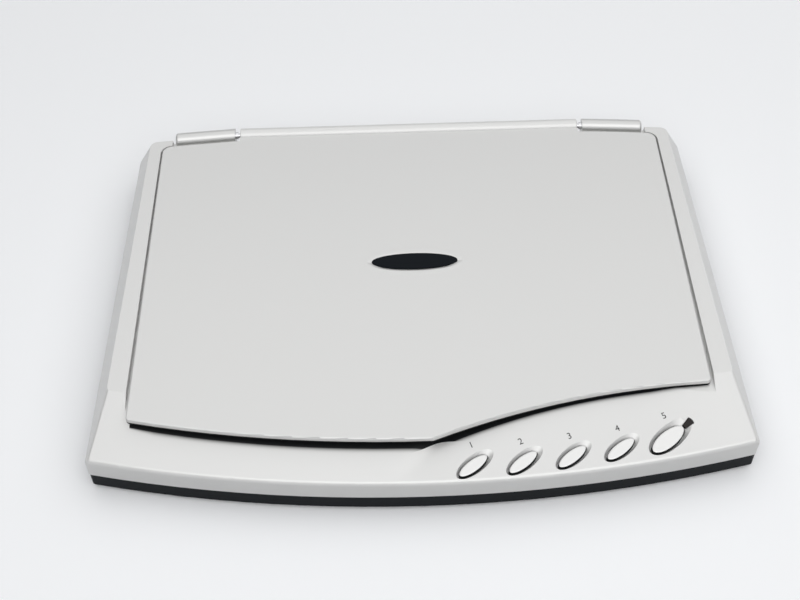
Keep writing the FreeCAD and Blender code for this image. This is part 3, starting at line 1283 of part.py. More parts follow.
def sensor_bar(home):
    low_y, high_y = "bar_y - bar_length / 2", "bar_y + bar_length / 2"
    half = "bar_width / 2"
    block = box("SensorBlock", (f"{home} - {half}", f"{home} + {half}"), (low_y, high_y), ("bar_low", "bar_top"))
    tools = [
        box("OpticsSlot", (f"{home} - lens_slot / 2 - 0.02", f"{home} + lens_slot / 2 + 0.02"),
            (f"{low_y} + 4", f"{high_y} - 4"), ("bar_low - 1", "bar_top + 1")),
        box("GuideSlot", (f"{home} - {half} + 1.6", f"{home} + {half} - 1.6"), (f"{low_y} + 2.5", f"{high_y} - 2.5"),
            ("bar_top - cover_glass - 3", "bar_top + 1")),
        box("GlassSeat", (f"{home} - {half} + 0.8", f"{home} + {half} - 0.8"), (f"{low_y} + 1.2", f"{high_y} - 1.2"),
            ("bar_top - cover_glass", "bar_top + 1")),
        box("BoardSeat", (f"{home} - {half} + 0.8", f"{home} + {half} - 0.8"), (f"{low_y} + 0.8", f"{high_y} - 0.8"),
            ("bar_low - 1", "bar_low + sensor_board")),
    ]
    node(cut("SensorHousing", block, *tools), "sensor_housing")
    node(box("SensorBoard", (f"{home} - {half} + 0.9", f"{home} + {half} - 0.9"), (f"{low_y} + 0.9", f"{high_y} - 0.9"),
             ("bar_low", "bar_low + sensor_board")), "sensor_board")
    node(box("LensArray", (f"{home} - lens_slot / 2", f"{home} + lens_slot / 2"), (f"{low_y} + 4.1", f"{high_y} - 4.1"),
             ("bar_low + sensor_board + 1.4", "bar_top - cover_glass - 1")), "rod_lens_array")
    guide_x = f"{home} + {half} - 4.4"
    node(box("LightGuide", (guide_x, f"{guide_x} + 2.7"), (f"{low_y} + 2.7", f"{high_y} - 2.7"),
             ("bar_top - cover_glass - 2.98", "bar_top - cover_glass - 0.6")), "light_guide")
    node(box("CoverGlass", (f"{home} - {half} + 0.9", f"{home} + {half} - 0.9"), (f"{low_y} + 1.3", f"{high_y} - 1.3"),
             ("bar_top - cover_glass", "bar_top")), "sensor_glass")
    pads = [box(f"SlidePad{i}", (f"{home} - pad_length / 2", f"{home} + pad_length / 2"), (y, f"{y} + 1.1"),
                ("bar_top", "glass_low - pad_gap")) for i, y in enumerate((low_y, f"{high_y} - 1.1"))]
    node(group("SlidePads", *pads), "slide_pads")
    leaves = []
    floor = "frame_low + frame_floor"
    for i, y in enumerate((f"{low_y} + 12", f"{high_y} - 12")):
        rise = "bar_low"
        leaf = outline(f"LeafSketch{i}", [
            ("-leaf_length / 2", floor), ("-leaf_length / 2 + 2", floor), ("0", f"{rise} - leaf_thickness"),
            ("leaf_length / 2 - 2", floor), ("leaf_length / 2", floor),
            ("leaf_length / 2", f"{floor} + leaf_thickness"), ("leaf_length / 2 - 1.8", f"{floor} + leaf_thickness"),
            ("0.6", rise), ("-0.6", rise), ("-leaf_length / 2 + 1.8", f"{floor} + leaf_thickness"),
            ("-leaf_length / 2", f"{floor} + leaf_thickness")])
        leaves.append(raised(f"Leaf{i}", leaf, "leaf_width", home, f"{y} + leaf_width / 2", "0", UPRIGHT))
    node(group("Leaves", *leaves), "carriage_springs")


# Boards, socket and cables

def electronics():
    board = box("Board", ("board_left", "board_left + board_width"), ("board_front", "board_back"),
                ("board_z", "board_top"))
    node(board, "main_board")
    chips = [
        box("Controller", ("board_left + 3", "board_left + 13"), ("board_front + 40", "board_front + 50"), ("board_top", "board_top + 1.4")),
        box("Memory", ("board_left + 4", "board_left + 12"), ("board_front + 60", "board_front + 64"), ("board_top", "board_top + 1.1")),
        box("MotorDriver", ("board_left + 5", "board_left + 11"), ("board_front + 16", "board_front + 21"), ("board_top", "board_top + 1.5")),
        rod("Capacitor", "3", "5.4", "board_left + 8", "board_front + 78", "board_top"),
        rod("SmallCapacitor", "2", "4.5", "board_left + 13", "board_front + 86", "board_top"),
        box("RibbonSocket", ("board_left + 0.2", "board_left + 2.6"),
            ("ribbon_y - ribbon_width / 2 - 1.5", "ribbon_y + ribbon_width / 2 + 1.5"),
            ("board_top", "board_top + 2")),
        box("LeadSocket", ("board_left + 3", "board_left + 9"), ("board_front + 7", "board_front + 11"),
            ("board_top", "board_top + 4")),
    ]
    node(group("Chips", *chips), "board_components")
    wall = "usb_wall"
    usb_back = "board_back + 4"
    shell = box("UsbShell", ("usb_x - usb_width / 2", "usb_x + usb_width / 2"), (f"{usb_back} - usb_length", usb_back),
                ("board_top", "board_top + usb_height"))
    room = box("UsbRoom", (f"usb_x - usb_width / 2 + {wall}", f"usb_x + usb_width / 2 - {wall}"),
               (f"{usb_back} - usb_length + 1.5", f"{usb_back} + 1"), (f"board_top + {wall}",
               f"board_top + usb_height - {wall}"))
    tongue = box("UsbTongue", ("usb_x - usb_width / 4", "usb_x + usb_width / 4"),
                 (f"{usb_back} - usb_length + 1", f"{usb_back} - 2"),
                 ("board_top + usb_height * 0.45", "board_top + usb_height * 0.62"))
    node(fuse("UsbSocket", cut("UsbCan", shell, room), tongue), "usb_socket")
    ribbon()
    leads()


def ribbon():
    """The flat cable: socket, drop to the floor, run under the carriage, turn up and into the bar."""
    thick = number("ribbon_thickness")
    low = number("floor_top") + 0.02
    start_x = number("board_left + 0.2")
    top = number("board_top + 1")
    drop_x = start_x - 1.2
    turn_x = number("home_x - frame_half") - 1.2
    bend = number("ribbon_bend")
    high = low + 2 * bend
    end_x = number("home_x - bar_width / 2 + 2")
    inner = [V(turn_x, low + thick, 0), V(turn_x - bend + thick, low + bend, 0), V(turn_x, high - thick, 0)]
    outer = [V(turn_x, high, 0), V(turn_x - bend, low + bend, 0), V(turn_x, low, 0)]
    down = [V(start_x, top, 0), V(drop_x, top, 0), V(drop_x, low + thick, 0), inner[0]]
    tail = [inner[2], V(end_x, high - thick, 0), V(end_x, high, 0), outer[0]]
    back = [outer[2], V(drop_x + thick, low, 0), V(drop_x + thick, top - thick, 0),
            V(start_x, top - thick, 0), down[0]]
    edges = [Part.LineSegment(p, q) for p, q in zip(down, down[1:])]
    edges += [Part.Arc(*inner)]
    edges += [Part.LineSegment(p, q) for p, q in zip(tail, tail[1:])]
    edges += [Part.Arc(*outer)]
    edges += [Part.LineSegment(p, q) for p, q in zip(back, back[1:])]
    face = Part.Face(Part.Wire([edge.toShape() for edge in edges]))
    solid = fixed("Ribbon", face.extrude(V(0, 0, number("ribbon_width"))))
    node(at(solid, "0", "ribbon_y + ribbon_width / 2", "0", UPRIGHT), "flat_cable")


def leads():
    """The motor's leads, a flat loom laid on the floor from the motor to the board."""
    motor_back = "bracket_back + bracket_wall + motor_length"
    run = box("LeadRun", ("motor_x", "board_left + 8"), ("lead_y - lead_width / 2", "lead_y + lead_width / 2"),
              ("floor_top + 0.02", "floor_top + 0.02 + lead_thickness"))
    rise = box("LeadRise", ("board_left + 8 - lead_thickness", "board_left + 8"),
               ("lead_y - lead_width / 2", "lead_y + lead_width / 2"), ("floor_top + 0.02", "board_top + 2.4"))
    across = box("LeadAcross", ("board_left + 8 - lead_width", "board_left + 8"),
                 ("lead_y - lead_width / 2", "board_front + 7"),
                 ("board_top + 2.4 - lead_thickness", "board_top + 2.4"))
    stub = box("LeadStub", ("motor_x", "motor_x + lead_thickness"), (motor_back, "lead_y + lead_width / 2"),
               ("floor_top + 0.02", "motor_z"))
    node(fuse("Leads", run, rise, across, stub), "motor_leads")


def build():
    top_housing()
    base_tray()
    feet_and_screws()
    glass()
    hinge()
    cover()
    buttons()
    drive()
    idler()
    belt()
    guide()
    carriage()
    electronics()
    doc.recompute()
    for item in doc.Objects:
        if "Invalid" in item.State or "Error" in item.State:
            raise RuntimeError(f"{item.Name} failed: {item.State}")
    os.makedirs("parts", exist_ok=True)
    for item in nodes:
        shape = item.Shape
        if shape.isNull() or not shape.isValid() or not shape.Solids:
            raise RuntimeError(f"{item.Label} has no valid solid")
    for item in nodes:
        item.Shape.exportStep(os.path.join("parts", item.Label + ".step"))
    print(f"{len(nodes)} sub-parts written")


build()
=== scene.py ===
import json
import math

import bpy
from mathutils import Matrix, Vector

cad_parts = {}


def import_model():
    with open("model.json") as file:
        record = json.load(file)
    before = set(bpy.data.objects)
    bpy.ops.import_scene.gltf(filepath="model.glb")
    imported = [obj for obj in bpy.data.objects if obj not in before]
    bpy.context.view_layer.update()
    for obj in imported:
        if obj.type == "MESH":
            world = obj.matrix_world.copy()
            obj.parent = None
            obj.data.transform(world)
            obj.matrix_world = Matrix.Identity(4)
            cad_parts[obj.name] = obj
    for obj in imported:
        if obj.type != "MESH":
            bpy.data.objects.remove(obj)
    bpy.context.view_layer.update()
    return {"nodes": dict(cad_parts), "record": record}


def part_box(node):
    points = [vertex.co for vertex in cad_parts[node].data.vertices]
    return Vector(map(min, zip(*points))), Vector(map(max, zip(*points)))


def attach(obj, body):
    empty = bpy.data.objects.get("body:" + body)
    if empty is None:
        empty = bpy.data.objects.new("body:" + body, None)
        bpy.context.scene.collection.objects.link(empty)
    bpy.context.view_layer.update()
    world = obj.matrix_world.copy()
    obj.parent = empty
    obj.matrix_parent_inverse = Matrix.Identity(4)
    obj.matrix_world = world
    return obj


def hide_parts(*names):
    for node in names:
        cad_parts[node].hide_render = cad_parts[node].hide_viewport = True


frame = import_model()

MM = 0.001

# Camera: a 54 mm lens in front of the scanner, looking down at 47 degrees
CAMERA_PLACE = Vector((-7.657, -315.07, 349.84)) * MM
CAMERA_YAW = math.radians(0.307)
CAMERA_PITCH = math.radians(47.214)
CAMERA_ROLL = math.radians(1.487)
LENS_MM = 54.0
SENSOR_MM = 36.0
NEAREST_SEEN = 10 * MM

# Fine grain of paint and plastic
GRAIN_SCALE = 3500.0
GRAIN_DETAIL = 3.0
GRAIN_STRENGTH = 0.35
GRAIN_HEIGHT = 0.02 * MM
GRAIN_SPREAD = 0.03
POLISHED = 0.002 * MM

# Silver paint
PAINT_METAL = 0.45
PAINT_HEIGHT = 0.01 * MM
COVER_SILVER = dict(level=0.76, roughness=0.31, specular=0.1)

# Black for painted shade: the deck under and in front of the cover's lip, the lip's lower edge and
# the buttons' side walls
SHADE_BLACK = (0.006, 0.007, 0.008)
# Painted shade: the cover's front lip is black below a height, as far back as its depth, for the
# shadowed gap under the lip
LIP_SHADE_BELOW = 23.45 * MM
LIP_DEPTH = 1.5 * MM
LIP_STEPS = 64
LIP_INSET = 0.2 * MM
# Painted shadow: the deck is black under the cover, and the black fades out in front of the lip,
# less far at the sides
DECK_BLACK_REACH, DECK_BLACK_SIDE = 2.2 * MM, 0.15 * MM
DECK_BLACK_TAPER = 12 * MM
DECK_BLACK_FADE = 3.0
DECK_BLACK_INSET = 0.2 * MM
DECK_BLACK_BACK = 8.0 * MM
DECK_BLACK_ABOVE = 19.0 * MM
# Painted shade: a button is black where its surface direction rises less than this, for the
# shadowed gap round its cap
CAP_SHADE_BELOW = 0.72

# Light levels
WORLD_COLOUR = (0.97, 0.98, 1.0)
WORLD_LEVEL = 0.14
WORLD_SEEN = 0.9
BACKDROP_FULL, BACKDROP_GONE = 0.2, 0.4
# Each lamp: two corners of its rectangle in metres, its height and its brightness
LAMPS = {
    "top_light": ((-0.85, -1.8), (1.4, 1.1), 1.0, 0.89),
    "front_light": ((-0.9, -2.1), (1.0, -0.3), 0.99, 0.65),
    "back_light": ((-0.85, 1.1), (1.4, 1.9), 1.0, 0.64),
}

# Table top: its colour as seen and for the light it throws back, and its glow near and far
FLOOR_SEEN = (0.93, 0.94, 0.955)
FLOOR_BOUNCE = (0.15, 0.15, 0.155)
FLOOR_GLOW, FAR_FLOOR_GLOW = 0.05, 0.85
GLOW_FROM, GLOW_TO = 0.7, 4.0
FLOOR_ROUGHNESS = 0.7
FLOOR_SPECULAR = 0.1
FLOOR_REACH = 6.0
FLOOR_DROP = 0.1 * MM


# Shader nodes

def wire(node, inputs):
    """Set a node's inputs, each to a number, a colour or another node's output."""
    for name, value in inputs.items():
        if isinstance(value, bpy.types.NodeSocket):
            node.id_data.links.new(value, node.inputs[name])
        else:
            node.inputs[name].default_value = value


def added(tree, kind, inputs, **settings):
    """A new node with its settings and inputs."""
    node = tree.nodes.new("ShaderNode" + kind)
    for name, value in settings.items():
        setattr(node, name, value)
    wire(node, inputs)
    return node


def solved(tree, operation, *values):
    """One Math node on outputs or numbers."""
    return added(tree, "Math", dict(enumerate(values)), operation=operation).outputs["Value"]


def ranged(tree, value, low, high, start, end):
    """A value carried from one range to another and held at its ends."""
    inputs = {"Value": value, "From Min": low, "From Max": high, "To Min": start, "To Max": end}
    return added(tree, "MapRange", inputs).outputs["Result"]


def chosen(tree, factor, first, second):
    """The first colour where the factor is 0, and the second where it is 1."""
    inputs = {"A": (*first, 1.0), "B": (*second, 1.0), "Factor": factor}
    return added(tree, "Mix", inputs, data_type="RGBA").outputs["Result"]


def coordinates(tree, source="Object"):
    """The object's own place, or its surface direction, or a direction into the world."""
    return tree.nodes.new("ShaderNodeTexCoord").outputs[source]


def split(tree, vector):
    """X, Y and Z of a vector."""
    parts = added(tree, "SeparateXYZ", {"Vector": vector})
    return parts.outputs["X"], parts.outputs["Y"], parts.outputs["Z"]


# Materials

def shader(name):
    """A new material, its node tree and its Principled shader."""
    material = bpy.data.materials.new(name)
    material.use_nodes = True
    tree = material.node_tree
    return material, tree, tree.nodes["Principled BSDF"]


def coated(name, colour, roughness, metallic=0.0, height=GRAIN_HEIGHT, coat=0.0, specular=0.5):
    """Paint or plastic with a fine grain: small bumps and a little change of roughness."""
    material, tree, principled = shader(name)
    inputs = {"Vector": coordinates(tree), "Scale": GRAIN_SCALE, "Detail": GRAIN_DETAIL}
    noise = added(tree, "TexNoise", inputs).outputs["Fac"]
    inputs = {"Height": noise, "Strength": GRAIN_STRENGTH, "Distance": height}
    wire(principled, {
        "Base Color": (*colour, 1.0),
        "Metallic": metallic,
        "Coat Weight": coat,
        "Specular IOR Level": specular,
        "Normal": added(tree, "Bump", inputs).outputs["Normal"],
        "Roughness": ranged(tree, noise, 0.0, 1.0, roughness - GRAIN_SPREAD,
                            roughness + GRAIN_SPREAD),
    })
    return material


def silver(name, level, roughness, specular, height=PAINT_HEIGHT):
    """Silver paint of some lightness."""
    return coated(name, (level, level, level - 0.01), roughness, PAINT_METAL, height,
                  specular=specular)


def clear(name, colour, roughness, transmission):
    """Glass or clear plastic."""
    material, _, principled = shader(name)
    wire(principled, {"Base Color": (*colour, 1.0), "Roughness": roughness,
                      "Transmission Weight": transmission, "IOR": 1.5})
    return material


def two_toned(name, kind, inputs, colours, stops, roughness, metallic=0.0, blend="LINEAR",
              **settings):
    """A surface in two colours, laid out by a noise or wave texture."""
    material, tree, principled = shader(name)
    texture = added(tree, kind, {"Vector": coordinates(tree), **inputs}, **settings)
    ramp = added(tree, "ValToRGB", {"Fac": texture.outputs["Fac"]})
    ramp.color_ramp.interpolation = blend
    for element, stop, colour in zip(ramp.color_ramp.elements, stops, colours):
        element.position = stop
        element.color = (*colour, 1.0)
    wire(principled, {"Base Color": ramp.outputs["Color"], "Roughness": roughness,
                      "Metallic": metallic})
    return material


def mottled(name, colours, scale, roughness, metallic=0.0):
    """A surface whose colour drifts a little between two shades."""
    return two_toned(name, "TexNoise", {"Scale": scale, "Detail": 4.0}, colours, (0.35, 0.65),
                     roughness, metallic)


def banded(name, colours, scale, roughness):
    """Even stripes, as on a flat cable or a loom."""
    return two_toned(name, "TexWave", {"Scale": scale}, colours, (0.0, 1.0), roughness,
                     bands_direction="Y")


def circuit_board(name, colours):
    """Solder mask with thin wavy tracks under it."""
    inputs = {"Scale": 260.0, "Distortion": 6.0, "Detail": 1.0}
    return two_toned(name, "TexWave", inputs, colours, (0.0, 0.8), 0.35, blend="CONSTANT")


# Silver paint with painted shade in black, at the cover's lip and on the buttons' side walls

def lip_line():
    """The front edge of the cover in plan: its lowest y at even steps of x."""
    mesh = frame["nodes"]["lid_shell"].data
    low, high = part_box("lid_shell")
    width = high.x - low.x - 2 * LIP_INSET
    ends = [[mesh.vertices[index].co for index in edge.vertices] for edge in mesh.edges]
    line = []
    for step in range(LIP_STEPS + 1):
        x = low.x + LIP_INSET + width * step / LIP_STEPS
        line.append((x, min(a.y + (b.y - a.y) * (x - a.x) / (b.x - a.x)
                            for a, b in ends if min(a.x, b.x) <= x < max(a.x, b.x))))
    return line


def behind_lip(tree, x, y):
    """How far a point lies behind the cover's front edge, in metres."""
    line = lip_line()
    first, last = line[0][0], line[-1][0]
    low, high = min(point[1] for point in line), max(point[1] for point in line)
    inputs = {"Value": ranged(tree, x, first, last, 0.0, 1.0)}
    curve = added(tree, "FloatCurve", inputs)
    shape = curve.mapping.curves[0]
    spots = [((px - first) / (last - first), (py - low) / (high - low)) for px, py in line]
    shape.points[0].location, shape.points[1].location = spots[0], spots[-1]
    for spot in spots[1:-1]:
        shape.points.new(*spot)
    for point in shape.points:
        point.handle_type = "VECTOR"
    curve.mapping.update()
    edge = ranged(tree, curve.outputs["Value"], 0.0, 1.0, low, high)
    return solved(tree, "SUBTRACT", y, edge)


def bare_where(material, shade_mask):
    """Black painted shade, not metallic, where the mask is 1, and the paint elsewhere."""
    tree = material.node_tree
    principled = tree.nodes["Principled BSDF"]
    paint = tuple(principled.inputs["Base Color"].default_value)[:3]
    wire(principled, {"Base Color": chosen(tree, shade_mask, paint, SHADE_BLACK),
                      "Metallic": ranged(tree, shade_mask, 0.0, 1.0, PAINT_METAL, 0.0)})
    return material


def housing_paint():
    """Silver paint, with a painted shadow: the deck black where the cover lies over it, fading out
    in front of its lip.
    """
    material = silver("silver_paint_and_shadow", 0.78, 0.36, 0.2)
    tree = material.node_tree
    x, y, z = split(tree, coordinates(tree))
    _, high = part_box("lid_shell")
    sideways = solved(tree, "ABSOLUTE", x)
    reach = ranged(tree, sideways, high.x - DECK_BLACK_TAPER, high.x,
                   DECK_BLACK_REACH, DECK_BLACK_SIDE)
    share = solved(tree, "ADD", solved(tree, "DIVIDE", behind_lip(tree, x, y), reach), 1.0)
    inside = solved(tree, "POWER", ranged(tree, share, 0.0, 1.0, 0.0, 1.0), DECK_BLACK_FADE)
    for limit in (solved(tree, "LESS_THAN", sideways, high.x - DECK_BLACK_INSET),
                  solved(tree, "LESS_THAN", y, high.y - DECK_BLACK_BACK),
                  solved(tree, "GREATER_THAN", z, DECK_BLACK_ABOVE)):
        inside = solved(tree, "MULTIPLY", inside, limit)
    return bare_where(material, inside)


def cover_paint():
    """Silver paint, with painted shade: the lower part of the front lip black."""
    material = silver("cover_paint", **COVER_SILVER)
    tree = material.node_tree
    x, y, z = split(tree, coordinates(tree))
    front = solved(tree, "LESS_THAN", behind_lip(tree, x, y), LIP_DEPTH)
    lower = solved(tree, "LESS_THAN", z, LIP_SHADE_BELOW)
    return bare_where(material, solved(tree, "MULTIPLY", front, lower))


def cap_paint():
    """Silver paint on top of a button, with painted shade: its side walls black."""
    material = silver("button_silver_and_shade", 0.88, 0.30, 0.15, GRAIN_HEIGHT)
    tree = material.node_tree
    _, _, rise = split(tree, coordinates(tree, "Normal"))
    return bare_where(material, solved(tree, "LESS_THAN", rise, CAP_SHADE_BELOW))


# Finishes, one for each material slot of the record
FINISHES = {
    "housing": housing_paint(),
    "cover": cover_paint(),
    "tray": coated("black_plastic", (0.004, 0.006, 0.008), 0.48, height=0.03 * MM, specular=0.12),
    "glass": clear("window_glass", (0.93, 0.97, 0.96), 0.02, 1.0),
    "white_plastic": coated("white_plastic", (0.83, 0.83, 0.82), 0.5),
    "foam": mottled("white_foam", ((0.80, 0.80, 0.78), (0.87, 0.87, 0.85)), 900.0, 0.95),
    "rubber": coated("black_rubber", (0.02, 0.02, 0.02), 0.8),
    "screw_steel": mottled("zinc_screw", ((0.42, 0.42, 0.44), (0.55, 0.55, 0.56)), 700.0, 0.38,
                           1.0),
    "pin_steel": coated("bright_steel", (0.78, 0.78, 0.80), 0.16, 1.0, height=0.004 * MM),
    "buttons": cap_paint(),
    "board": circuit_board("green_board", ((0.012, 0.12, 0.045), (0.03, 0.22, 0.08))),
    "chips": coated("black_package", (0.02, 0.02, 0.022), 0.5),
    "plunger": coated("red_plunger", (0.42, 0.05, 0.04), 0.45),
    "socket_metal": mottled("plated_sheet", ((0.55, 0.55, 0.57), (0.66, 0.66, 0.67)), 500.0, 0.32,
                            1.0),
    "lens": coated("smoked_lens", (0.016, 0.012, 0.011), 0.15, height=POLISHED, coat=0.15,
                   specular=0.25),
    "led": clear("clear_plastic", (0.92, 0.95, 0.93), 0.15, 0.7),
    "badge": coated("badge_gloss", (0.004, 0.006, 0.009), 0.3, height=POLISHED, specular=0.08),
    "inner_black": coated("black_frame", (0.025, 0.025, 0.027), 0.5),
    "gear_nylon": coated("natural_nylon", (0.78, 0.76, 0.68), 0.4),
    "brass": coated("turned_brass", (0.75, 0.56, 0.24), 0.25, 1.0),
    "belt": coated("black_belt", (0.025, 0.025, 0.025), 0.7),
    "spring_steel": coated("spring_steel", (0.6, 0.6, 0.62), 0.25, 1.0),
    "ribbon": banded("flat_cable", ((0.78, 0.78, 0.76), (0.55, 0.56, 0.58)), 320.0, 0.35),
    "leads": banded("wire_loom", ((0.45, 0.05, 0.04), (0.05, 0.05, 0.06)), 260.0, 0.45),
}

# The hinge barrels share the housing's slot, with a brighter and more metallic paint
OWN_FINISHES = {name: coated("paint_" + name, (0.68, 0.68, 0.67), 0.33, 0.82)
                for name in ("left_hinge_barrel", "right_hinge_barrel")}


def dress():
    """Each CAD node takes the finish of its slot, or its own."""
    for entry in frame["record"]["subparts"]:
        name = entry["node"]
        item = frame["nodes"][name]
        item.data.materials.clear()
        item.data.materials.append(OWN_FINISHES.get(name, FINISHES[entry["material_slot"]]))


# Pieces of the scene

def linked(name, data):
    """A new object in the scene."""
    item = bpy.data.objects.new(name, data)
    bpy.context.scene.collection.objects.link(item)
    return item


def middle_of(name):
    """The middle of a CAD node's box."""
    low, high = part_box(name)
    return (low + high) / 2


def ringed(name, rings, material, hollow=False):
    """A mesh through closed rings of points, capped at both ends, or joined into a hollow ring."""
    count = len(rings[0])
    last = (len(rings) - 1) * count
    starts = range(0, last, count)
    pairs = [(start, start + count) for start in starts] + ([(last, 0)] if hollow else [])
    faces = [(near + step, near + (step + 1) % count, far + (step + 1) % count, far + step)
             for near, far in pairs for step in range(count)]
    if not hollow:
        faces += [tuple(reversed(range(count))), tuple(range(last, last + count))]
    mesh = bpy.data.meshes.new(name)
    mesh.from_pydata([point for ring in rings for point in ring], [], faces)
    mesh.materials.append(material)
    for face in mesh.polygons:
        face.use_smooth = len(face.vertices) == 4
    return linked(name, mesh)


# Badge: a black oval in a shallow dish, on a skin flush with the cover
BADGE_LONG, BADGE_WIDE = 16.3 * MM, 4.15 * MM
BADGE_POINTS = 120
# Each ring in mm: how far it grows past the oval along and across, and its height over the cover
BADGE_OVAL = [(-0.1, -0.1, -0.45), (-0.02, -0.02, -0.4), (0.0, 0.0, -0.3), (0.0, 0.0, 0.02),
              (-0.04, -0.04, 0.1), (-0.12, -0.11, 0.15), (-0.25, -0.22, 0.18),
              (-3.0, -1.0, 0.21), (-8.0, -2.4, 0.23), (-15.0, -3.8, 0.24)]
BADGE_SKIN = [(0.02, 0.02, -0.48), (0.02, 0.02, -0.45), (0.06, 0.05, -0.44), (0.5, 0.28, -0.33),
              (1.1, 0.56, -0.18), (1.6, 0.8, -0.06), (1.85, 0.92, -0.01), (2.1, 1.05, 0.008),
              (2.4, 1.3, 0.01), (2.9, 3.1, 0.01), (2.98, 3.2, 0.008), (3.0, 3.22, 0.0),
              (3.0, 3.22, -0.02)]


def ovals(middle, top, sizes):
    """Rings of points around the badge, each grown and raised."""
    turns = [2 * math.pi * step / BADGE_POINTS for step in range(BADGE_POINTS)]
    return [[(middle.x + (BADGE_LONG + along * MM) * math.cos(turn),
              middle.y + (BADGE_WIDE + across * MM) * math.sin(turn),
              top + height * MM) for turn in turns]
            for along, across, height in sizes]


def badge():
    """The cover's badge, bare of words, and the dished skin round it."""
    middle = middle_of("lid_badge")
    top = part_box("lid_shell")[1].z
    oval = ringed("badge_oval", ovals(middle, top, BADGE_OVAL), FINISHES["badge"])
    skin = ringed("badge_dish", ovals(middle, top, BADGE_SKIN),
                  silver("badge_skin", **COVER_SILVER), hollow=True)
    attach(oval, "cover")
    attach(skin, "cover")
    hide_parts("lid_badge")


# Foam pad under the cover
PAD_CORNER, PAD_LEAST_CORNER = 2.0 * MM, 0.3 * MM
PAD_CORNER_STEPS = 6
# Each ring: how far inside the outline in mm, and its share of the thickness
PAD_RINGS = [(20.0, 0.0), (6.0, 0.01), (1.6, 0.03), (0.6, 0.08), (0.25, 0.2), (0.05, 0.38),
             (0.0, 0.55), (0.05, 0.72), (0.25, 0.88), (0.6, 0.97), (1.6, 1.0)]


def soft_rectangle(low, high, inside, height):
    """Points of the pad's outline with round corners, drawn in by some distance, at a height."""
    points = []
    radius = max(PAD_CORNER - inside, PAD_LEAST_CORNER)
    corners = [(high.x, high.y, 1, 1), (low.x, high.y, -1, 1), (low.x, low.y, -1, -1),
               (high.x, low.y, 1, -1)]
    for quarter, (x, y, sign_x, sign_y) in enumerate(corners):
        centre_x, centre_y = x - sign_x * (inside + radius), y - sign_y * (inside + radius)
        for step in range(PAD_CORNER_STEPS + 1):
            angle = math.radians(90 * quarter + 90 * step / PAD_CORNER_STEPS)
            points.append((centre_x + radius * math.cos(angle),
                           centre_y + radius * math.sin(angle), height))
    return points


def foam_pad():
    """The thin foam sheet that presses a page on the glass, with soft edges."""
    low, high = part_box("lid_pad")
    rings = [soft_rectangle(low, high, inside * MM, low.z + share * (high.z - low.z))
             for inside, share in PAD_RINGS]
    item = ringed("foam_sheet", rings, FINISHES["foam"])
    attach(item, "cover")
    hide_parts("lid_pad")


# Numbers printed beside the buttons
NUMBERED = ["function_button_1", "function_button_2", "function_button_3", "function_button_4",
            "scan_button"]
NUMBER_HEIGHT = 3.2 * MM
NUMBER_TURN = math.radians(20)
# Each stands up and left of its button, by shares of the button's size and a gap
NUMBER_LEFT, NUMBER_UP = 0.02, 0.52
NUMBER_GAP = 1.6 * MM
INK_LIFT = 0.03 * MM
INK_DEPTH = 0.01 * MM
ABOVE_DECK = 0.1


def number_prints():
    """One plain number up and left of each button, lying on the deck."""
    ink = coated("grey_ink", (0.04, 0.04, 0.04), 0.6, specular=0.2)
    for number, name in enumerate(NUMBERED, 1):
        low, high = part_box(name)
        size = high - low
        middle = middle_of(name)
        spot = Vector((middle.x - NUMBER_LEFT * size.x,
                       middle.y + NUMBER_UP * size.y + NUMBER_GAP, ABOVE_DECK))
        hit, place, normal, _ = frame["nodes"]["top_housing"].ray_cast(spot, Vector((0, 0, -1)))
        if not hit:
            raise RuntimeError("no deck under the number")
        curve = bpy.data.curves.new(f"number_{number}", "FONT")
        curve.body = str(number)
        curve.size = NUMBER_HEIGHT
        curve.extrude = INK_DEPTH
        curve.align_x = "CENTER"
        curve.align_y = "CENTER"
        curve.materials.append(ink)
        item = linked(f"number_{number}", curve)
        along = Vector((math.cos(NUMBER_TURN), math.sin(NUMBER_TURN), 0))
        side = (along - normal * along.dot(normal)).normalized()
        turn = Matrix((side, normal.cross(side), normal)).transposed().to_4x4()
        item.matrix_world = Matrix.Translation(place + normal * INK_LIFT) @ turn
        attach(item, "base")


# Studio

def seen(tree):
    """1 for rays that show a surface, directly, mirrored or through glass, and 0 for the rest."""
    path = tree.nodes.new("ShaderNodeLightPath")
    total = path.outputs["Is Camera Ray"]
    for kind in ("Is Glossy Ray", "Is Transmission Ray"):
        total = solved(tree, "MAXIMUM", total, path.outputs[kind])
    return total


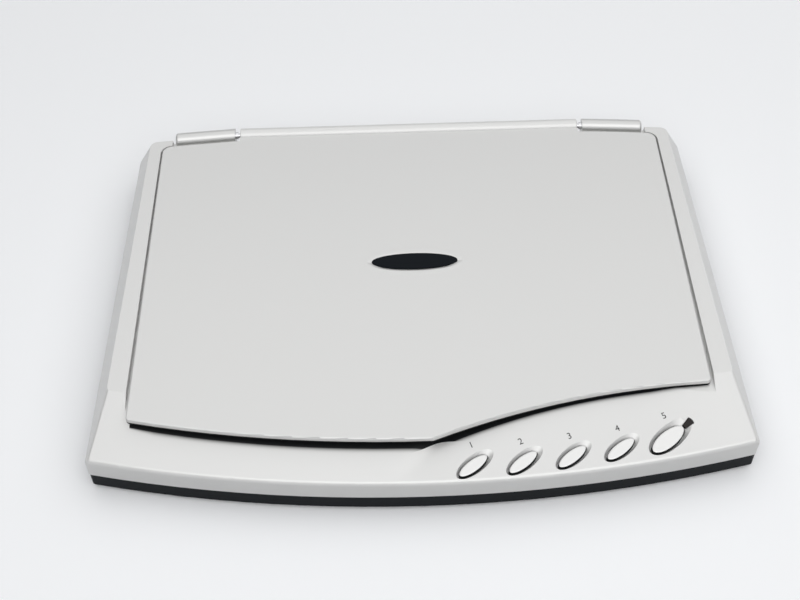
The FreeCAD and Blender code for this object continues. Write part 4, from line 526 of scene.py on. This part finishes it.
def floor():
    """A pale table top: white as seen or mirrored, greyer for the light it throws back."""
    material, tree, principled = shader("pale_table")
    shown = seen(tree)
    distance = added(tree, "VectorMath", {0: coordinates(tree)}, operation="LENGTH")
    glow = ranged(tree, distance.outputs["Value"], GLOW_FROM, GLOW_TO, FLOOR_GLOW, FAR_FLOOR_GLOW)
    wire(principled, {
        "Base Color": chosen(tree, shown, FLOOR_BOUNCE, FLOOR_SEEN),
        "Emission Color": (*FLOOR_SEEN, 1.0),
        "Emission Strength": solved(tree, "MULTIPLY", glow, shown),
        "Roughness": FLOOR_ROUGHNESS,
        "Specular IOR Level": FLOOR_SPECULAR,
    })
    reach = FLOOR_REACH
    mesh = bpy.data.meshes.new("table")
    corners = [(-reach, -reach, 0), (reach, -reach, 0), (reach, reach, 0), (-reach, reach, 0)]
    mesh.from_pydata(corners, [], [(0, 1, 2, 3)])
    mesh.materials.append(material)
    item = linked("table", mesh)
    item.location.z = -FLOOR_DROP


def softbox(name, low, high, height, glow):
    """A large rectangular lamp facing down, between two corners at a height."""
    width, depth = high[0] - low[0], high[1] - low[1]
    data = bpy.data.lights.new(name, "AREA")
    data.shape = "RECTANGLE"
    data.size = width
    data.size_y = depth
    data.energy = glow * math.pi * width * depth
    linked(name, data).location = ((low[0] + high[0]) / 2, (low[1] + high[1]) / 2, height)


def world():
    """Even pale surroundings, white near the horizon where they are seen or mirrored."""
    surroundings = bpy.data.worlds.new("studio")
    surroundings.use_nodes = True
    tree = surroundings.node_tree
    _, _, rise = split(tree, coordinates(tree, "Generated"))
    low = ranged(tree, rise, BACKDROP_FULL, BACKDROP_GONE, 1.0, 0.0)
    shown = solved(tree, "MULTIPLY", seen(tree), low)
    wire(tree.nodes["Background"], {
        "Color": (*WORLD_COLOUR, 1.0),
        "Strength": ranged(tree, shown, 0.0, 1.0, WORLD_LEVEL, WORLD_SEEN),
    })
    bpy.context.scene.world = surroundings


def camera():
    """The camera at the photograph's angle."""
    yaw, pitch, roll = CAMERA_YAW, CAMERA_PITCH, CAMERA_ROLL
    forward = Vector((math.sin(yaw) * math.cos(pitch), math.cos(yaw) * math.cos(pitch),
                      -math.sin(pitch)))
    level = Vector((math.cos(yaw), -math.sin(yaw), 0))
    down = forward.cross(level)
    right = math.cos(roll) * level + math.sin(roll) * down
    below = -math.sin(roll) * level + math.cos(roll) * down
    data = bpy.data.cameras.new("camera")
    data.lens = LENS_MM
    data.sensor_width = SENSOR_MM
    data.clip_start = NEAREST_SEEN
    item = linked("camera", data)
    turn = Matrix((right, -below, -forward)).transposed().to_4x4()
    item.matrix_world = Matrix.Translation(CAMERA_PLACE) @ turn
    bpy.context.scene.camera = item


def studio():
    """The table, the light and the camera."""
    floor()
    world()
    for name, (low, high, height, glow) in LAMPS.items():
        softbox(name, low, high, height, glow)
    camera()
    bpy.context.scene.view_settings.view_transform = "Standard"


dress()
badge()
foam_pad()
number_prints()
studio()
